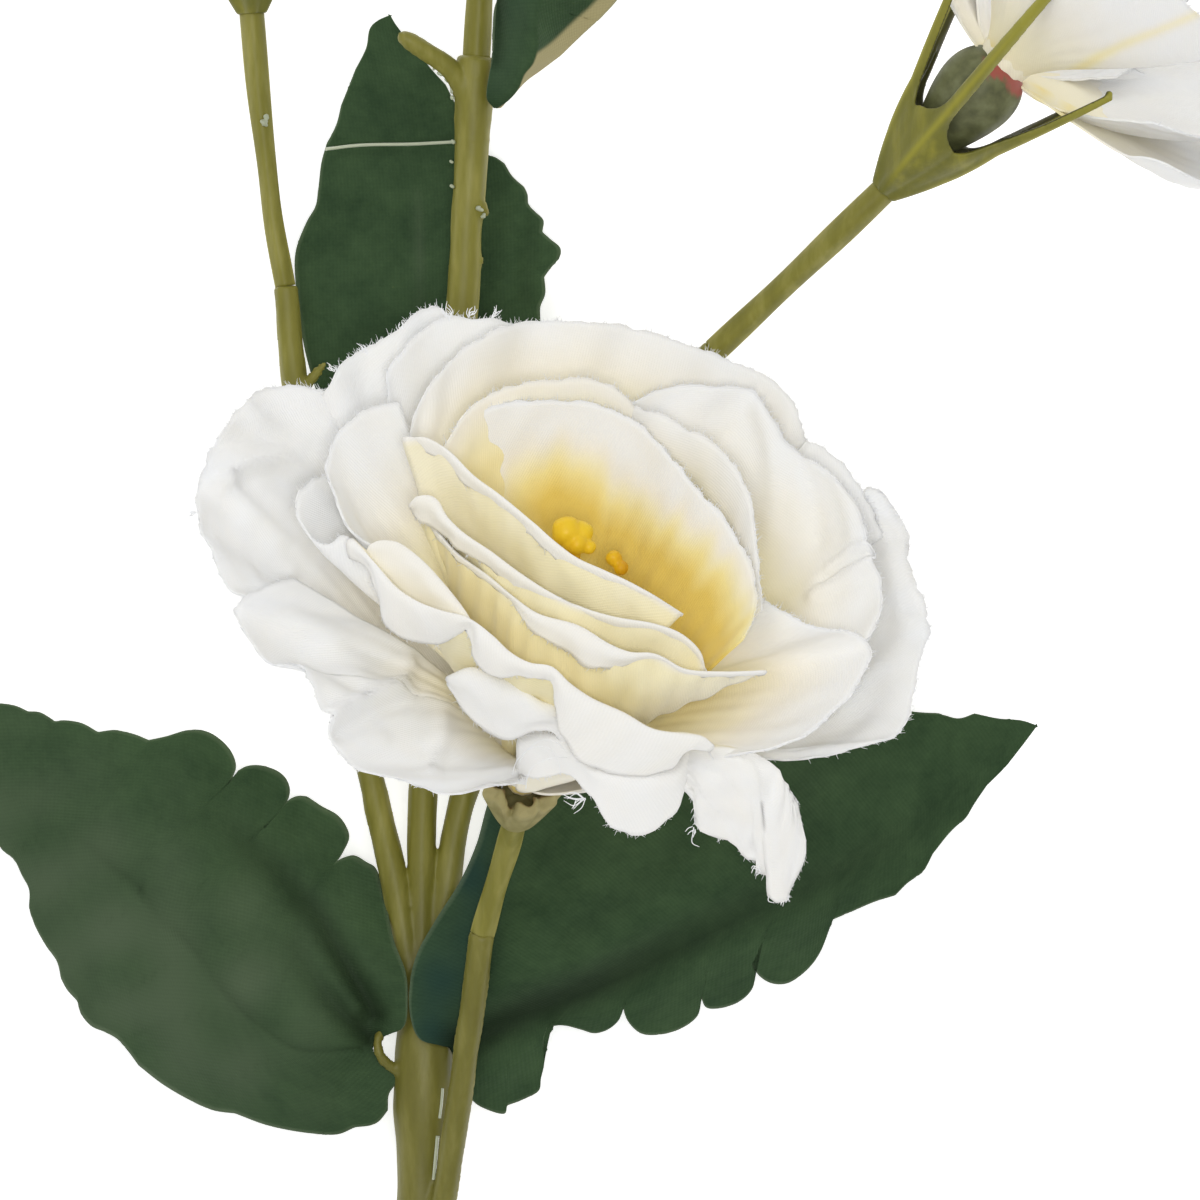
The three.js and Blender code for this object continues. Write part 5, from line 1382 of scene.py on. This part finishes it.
def makeLeaf(name, leaf):
    rows, seed = leafMake["rows"], leaf["seed"]
    left, right = leafMargin(leaf["left"], rows), leafMargin(leaf["right"], rows)
    centre = smoothCurve(raised(leaf["midrib"]), rows)[:, None]
    opening = unit(right[-2] - left[-2]) * leafMake["tipOpening"]
    left[-1], right[-1] = left[-1] - opening, right[-1] + opening
    s = np.linspace(0, 1, leafMake["acrossHalf"] + 1) ** 0.85
    grid = np.concatenate([centre + (left[:, None] - centre) * s[::-1][None, :, None],
                           centre + (right[:, None] - centre) * s[None, 1:, None]], axis=1)
    place = np.concatenate([-s[::-1], s[1:]])[None, :] + np.zeros((rows, 1))
    if "heights" in leaf:
        grid[..., 2] = heightField(leaf["heights"])(grid[..., :2].reshape(-1, 2)).reshape(grid.shape[:2])
    x, y = grid[..., 0], grid[..., 1]
    lift, shade = creaseLift(leaf["folds"], grid)
    lift = lift + leafMake["wave"] * ripple(x, y, leafMake["waves"], seed)
    lift = lift + leafMake["cockle"] * ripple(x, y, leafMake["cockles"], seed + 1)
    away, along = distanceTo(leaf["midrib"], grid)
    vein = np.abs(((along * leafMake["veins"] - 0.055 * away + 0.2 * np.sign(place)) % 1) - 0.5)
    lift = lift - leafMake["veinDepth"] * (1 - smoothStep(0, 0.09, vein)) * smoothStep(1, 3, away)
    grid[..., 2] = np.maximum(grid[..., 2] + lift, leafMake["lowest"])
    edge = leafMake["cutEdge"] * smoothStep(0.985, 1.0, np.abs(place))
    tints = {"shadow": shade, "cutEdge": edge, "khaki": 0 * place}
    for key in ("grey", "tealShade"):
        start, stop, breadth, amount = leaf.get(key, ((0, 0), (1, 0), 1.0, 0.0))
        away = distanceTo([start, stop], grid)[0]
        rough = 1 + 0.3 * ripple(x, y, leafMake["patches"], seed + 2)
        tints[key] = np.clip(amount * np.exp(-(away / breadth) ** 2) * rough, 0, 1)
    if "khaki" in leaf:
        away = distanceTo([point for lobe in leaf["right"] for point in lobe][:-1], grid)[0]
        tints["khaki"] = (1 - smoothStep(*leaf["khaki"], away)) * (place > 0)
    sheetPiece(name + "_cloth", name, leafLook, grid, leafMake["thickness"], tints, leaf["thread"])


for leafName, leafShape in leaves.items():
    makeLeaf(leafName, leafShape)
print("leaves made")


# stems

cutEnd = (42.5, -90, 1.9)
routes = {
    "trunk": [cutEnd, (42, -60, 3.5), (42, -30, 5.5), (41.8, -10, 7.5), (42, 4, 8.6), places["node"],
        (42.2, 24, 9)],
    "centre": [places["node"], (42.2, 24, 9), (42.2, 40, 9), (43.6, 60, 9), (45.3, 78, 9.2),
        (46.2, 90, 9.3), (46.8, 100, 9.5), places["topJoint"]],
    "left": [places["node"], (40.9, 23, 9), (39.5, 31, 9), (37.5, 40, 8.5), (34, 58, 8), (31, 72, 8),
        (29.3, 81.6, 7.8), places["leftJoint"]],
    "right": [places["node"], (44, 27, 9), (46.5, 41, 9), (54, 59, 9.5), (62, 74, 11.5), (66.6, 80, 13),
        places["rightJoint"]],
    "bloom": [(42, -14, 7.6), (43.3, -5, 9.4), (44.3, 0, 10.8), (45.9, 10, 13.6), (47, 18, 15.8),
        places["bloomJoint"]],
    "stub": [(46.8, 108.4, 9.8), (46.2, 111, 10.2), (45, 113.2, 10.9), (42.4, 115.1, 11.9),
        (39.8, 116.8, 12.8)],
    "thorn": [(30, 81, 8.2), (31.2, 82.4, 8.8), (32.5, 83.9, 9.4)],
    "petiole": [(41, 12, 9.3), (39.4, 12.9, 10.2), (38, 14.2, 10.8), (37.7, 15.8, 10.8),
        (38.3, 16.8, 10.4)],
    "bloomStalk": [places["bloomJoint"], (49.4, 30.8, 19.3), (50.7, 35, 20.6), places["mainBloomFoot"]],
    "leftStalk": [places["leftJoint"], (27.2, 98, 7.1), (26.5, 104, 6.8), (25.7, 111, 6.3),
        places["leftBudFoot"]],
    "rightStalk": [places["rightJoint"], (76.2, 89.4, 16.8), (81.5, 94.4, 20), (85.5, 98.2, 22.2),
        places["sideBloomFoot"]],
    "topStalk": [places["topJoint"], (48, 122, 9.8), (48.6, 130, 10.2), places["topBudFoot"]],
}
stemMake = {
    "trunkRadius": 2.1,
    "nodeRadius": 2.9,
    "branchRadius": 1.35,
    "voxel": 0.24,
    "flash": 0.16,  # mm that the flash line stands out where the mould parts
    "flashBreadth": 0.16,  # how far the skin leans from upright where it ends
    "wander": 0.06,
    # painted shade: the stems darken from the first y to the second, where the leaves lie over them, and stay
    # dark below
    "paintedShadeReach": (42, 20),  # y on the plan, from bare to the darkest
    "deepTone_and_paintedShade": 0.28,
}
# Collars are (place along the centre, radius, length), and burrs (place, radius).
collars = [(0.988, 1.95, 2.6), (0.918, 1.78, 0.5), (0.938, 1.86, 0.5)]
burrs = [((48, 99.6, 10), 0.6), ((48.5, 98.9, 9.9), 0.5), ((47.7, 98.3, 10.3), 0.4),
         ((48.1, 94.1, 9.6), 0.35), ((40.2, 66.5, 9.2), 0.5), ((39.2, 91.4, 9.4), 0.2)]


def stemTube(name, radiusAt, sides=24, count=90):
    t = np.linspace(0, 1, count)
    return tube(smoothCurve(routes[name], count), radiusAt(t) + 0 * t, sides)


def collarTube(at, radius, length):
    line = smoothCurve(routes["centre"], 400)
    along = lengthsAlong(line)
    t = np.linspace(-1, 1, 9)
    path = atLengths(line, along, at * along[-1] + t / 2 * length)
    return tube(path, radius * (1 - 0.12 * np.abs(t) ** 4), 24)


def trunkRadiusAt(t):
    trunk, node = stemMake["trunkRadius"], stemMake["nodeRadius"]
    swell = (node - trunk) * np.exp(-((t - 0.9) / 0.08) ** 2)
    groove = -0.25 * np.exp(-((t - 0.76) / 0.004) ** 2)
    return trunk + swell + groove - 0.7 * np.maximum(0, (t - 0.92) / 0.08)


def makeStem():
    branch = stemMake["branchRadius"]
    parts = [
        stemTube("trunk", trunkRadiusAt, 32, 160),
        stemTube("centre", lambda t: (branch + 0.2 * smoothStep(0.3, 0.7, t)
                                      + 0.3 * smoothStep(0.86, 0.97, t))),
        stemTube("stub", lambda t: 0.98 * np.sqrt(1.02 - t ** 12), 24, 40),
        stemTube("thorn", lambda t: 0.55 - 0.4 * t ** 2, 12, 12),
        stemTube("petiole", lambda t: 0.55 - 0.1 * t, 14, 40),
        stemTube("left", lambda t: branch - 0.12 * t),
        stemTube("right", lambda t: branch - 0.12 * t),
        stemTube("bloom", lambda t: branch - 0.18),
    ]
    parts += [collarTube(*collar) for collar in collars] + [ball(*burr) for burr in burrs]
    points, normals, faces = fusedSkin(parts, stemMake["voxel"], 6)
    # the parting line runs along the sides, where the skin stands upright
    worn = np.clip(0.55 + 0.45 * ripple(points[:, 0], points[:, 1], (4, 14), 77), 0.1, 1)
    flash = np.exp(-(normals[:, 2] / stemMake["flashBreadth"]) ** 2) * worn
    points = roughened(points, normals, stemMake["wander"], (5, 12), 55)
    points = points + normals * (stemMake["flash"] * flash)[:, None]
    points[:, 2] = np.maximum(points[:, 2], 0.02)
    # painted shade on the stems, darker from y 42 down to y 20 and below, where the leaves lie over them
    deepTone_and_paintedShade = stemMake["deepTone_and_paintedShade"] * smoothStep(*stemMake["paintedShadeReach"], points[:, 1])
    makePiece("branching_stem", "stem", stemLook, points, faces, {"pale": 0.8 * flash, "deepTone_and_paintedShade": deepTone_and_paintedShade})


def makeStalk(node, routeName, jointRadius, footRadius):
    count, sides = 90, 48
    path = evenly(smoothCurve(routes[routeName], count), count)
    t = np.linspace(0, 1, count)[:, None]
    angle = np.linspace(0, math.tau, sides, endpoint=False)[None, :]
    flash = np.exp(-(np.sin(angle) / stemMake["flashBreadth"]) ** 2) * (0.6 + 0.4 * np.sin(9 * t + 1))
    radius = jointRadius + (footRadius - jointRadius) * t ** 2 - 0.06 + 0.05 * np.cos(4 * angle)
    corners, faces = tube(path, radius + stemMake["flash"] * flash, sides)
    makePiece(node + "_moulding", node, stemLook, corners, faces, {"pale": 0.8 * flash.ravel()})


# Drops of glue and threads of it, as (x, y, z) on the plan, each with its radius. The last two threads are
# pale streaks laid on the stem as a painted highlight.
glue = {
    "drops": [((26.3, 107.9, 7.7), 0.42), ((26.5, 108.5, 7.7), 0.28), ((43.4, 113.4, 11), 0.25),
        ((44, 112.9, 10.8), 0.32), ((44.7, 112.2, 10.4), 0.3), ((45.2, 111.2, 10.4), 0.35),
        ((45.2, 110.4, 10.4), 0.25), ((45.2, 106, 10.2), 0.22), ((45.1, 104, 10.2), 0.18),
        ((45.2, 101.6, 10.2), 0.2), ((48, 107, 10.6), 0.3), ((47.9, 99.3, 10.9), 0.35),
        ((48.3, 98.6, 10.7), 0.3)],
    "threads": [([(32.4, 105.3, 6.4), (36, 105.7, 6.5), (41, 105.8, 6.8), (45.3, 106, 8.6)], 0.17),
        ([(44.2, 11, 12.1), (44.1, 9.6, 11.9), (43.9, 8, 11.6)], 0.14),
        ([(43.7, 6.2, 11.3), (43.5, 4, 11), (43.3, 1.8, 10.7)], 0.18)],
    "voxel": 0.07,
}


def makeGlue():
    points, normals, faces = fusedSkin([ball(*drop) for drop in glue["drops"]], glue["voxel"], 2)
    points = roughened(points, normals, 0.08, (0.5, 1.2), 12)
    makePiece("stem_glue_drops", "stem", glueLook, points, faces, {})
    # the last two threads are a painted highlight along the stem
    threads = [tube(smoothCurve(line, 40), np.full(40, radius), 10) for line, radius in glue["threads"]]
    makePiece("stem_glue_and_highlight_threads", "stem", glueLook, *joined(threads), {})


makeGlue()
makeStem()
makeStalk("main_bloom_stalk", "bloomStalk", 1.1, 1.12)
makeStalk("side_bloom_stalk", "rightStalk", 1.15, 1.3)
makeStalk("left_bud_stalk", "leftStalk", 0.9, 1.2)
makeStalk("top_bud_stalk", "topStalk", 1.25, 1.2)
print("stems made")


# floor, light and camera

photoWidth = 120.0  # mm across the picture, at the height of the bloom
photoCentre = np.array([60.0, 60.0, 30.0])
cameraDistance = 5000.0
filmWidth = 36.0
skyStrength = 0.6
floorGlow = 0.55

floorMaterial = newMaterial("pale_floor", {
    "Base Color": (0.92, 0.92, 0.92, 1), "Roughness": 0.9,
    "Emission Color": (1, 1, 1, 1), "Emission Strength": floorGlow,
})[0]
bpy.ops.mesh.primitive_plane_add(size=6, location=(0, 0, -0.0001))
floor = bpy.context.object
floor.name = "floor"
floor.data.materials.append(floorMaterial)

world = bpy.data.worlds.new("studio")
bpy.context.scene.world = world
world.use_nodes = True
world.node_tree.nodes["Background"].inputs["Color"].default_value = (1, 1, 1, 1)
world.node_tree.nodes["Background"].inputs["Strength"].default_value = skyStrength


def addLamp(name, place, aim, size, power):
    data = bpy.data.lights.new(name, "AREA")
    data.shape = "DISK"
    data.size = size
    data.energy = power
    lamp = bpy.data.objects.new(name, data)
    bpy.context.scene.collection.objects.link(lamp)
    lamp.location = place
    lamp.rotation_mode = "QUATERNION"
    lamp.rotation_quaternion = (Vector(aim) - Vector(place)).to_track_quat("-Z", "Y")
    lamp.visible_camera = False


addLamp("key", (-0.36, 0.4, 1.0), (0, 0.02, 0.02), 0.5, 2.0)
addLamp("overhead", (0.03, -0.04, 1.3), (0, 0, 0.02), 0.3, 4.2)

camera = bpy.data.objects.new("camera", bpy.data.cameras.new("camera"))
bpy.context.scene.collection.objects.link(camera)
camera.location = toRow(photoCentre + [0, 0, cameraDistance])
camera.data.sensor_width = filmWidth
camera.data.lens = filmWidth * cameraDistance / photoWidth
camera.data.clip_start = 0.1
camera.data.clip_end = 100
bpy.context.scene.camera = camera
bpy.context.scene.view_settings.view_transform = "Standard"

print("stage set")
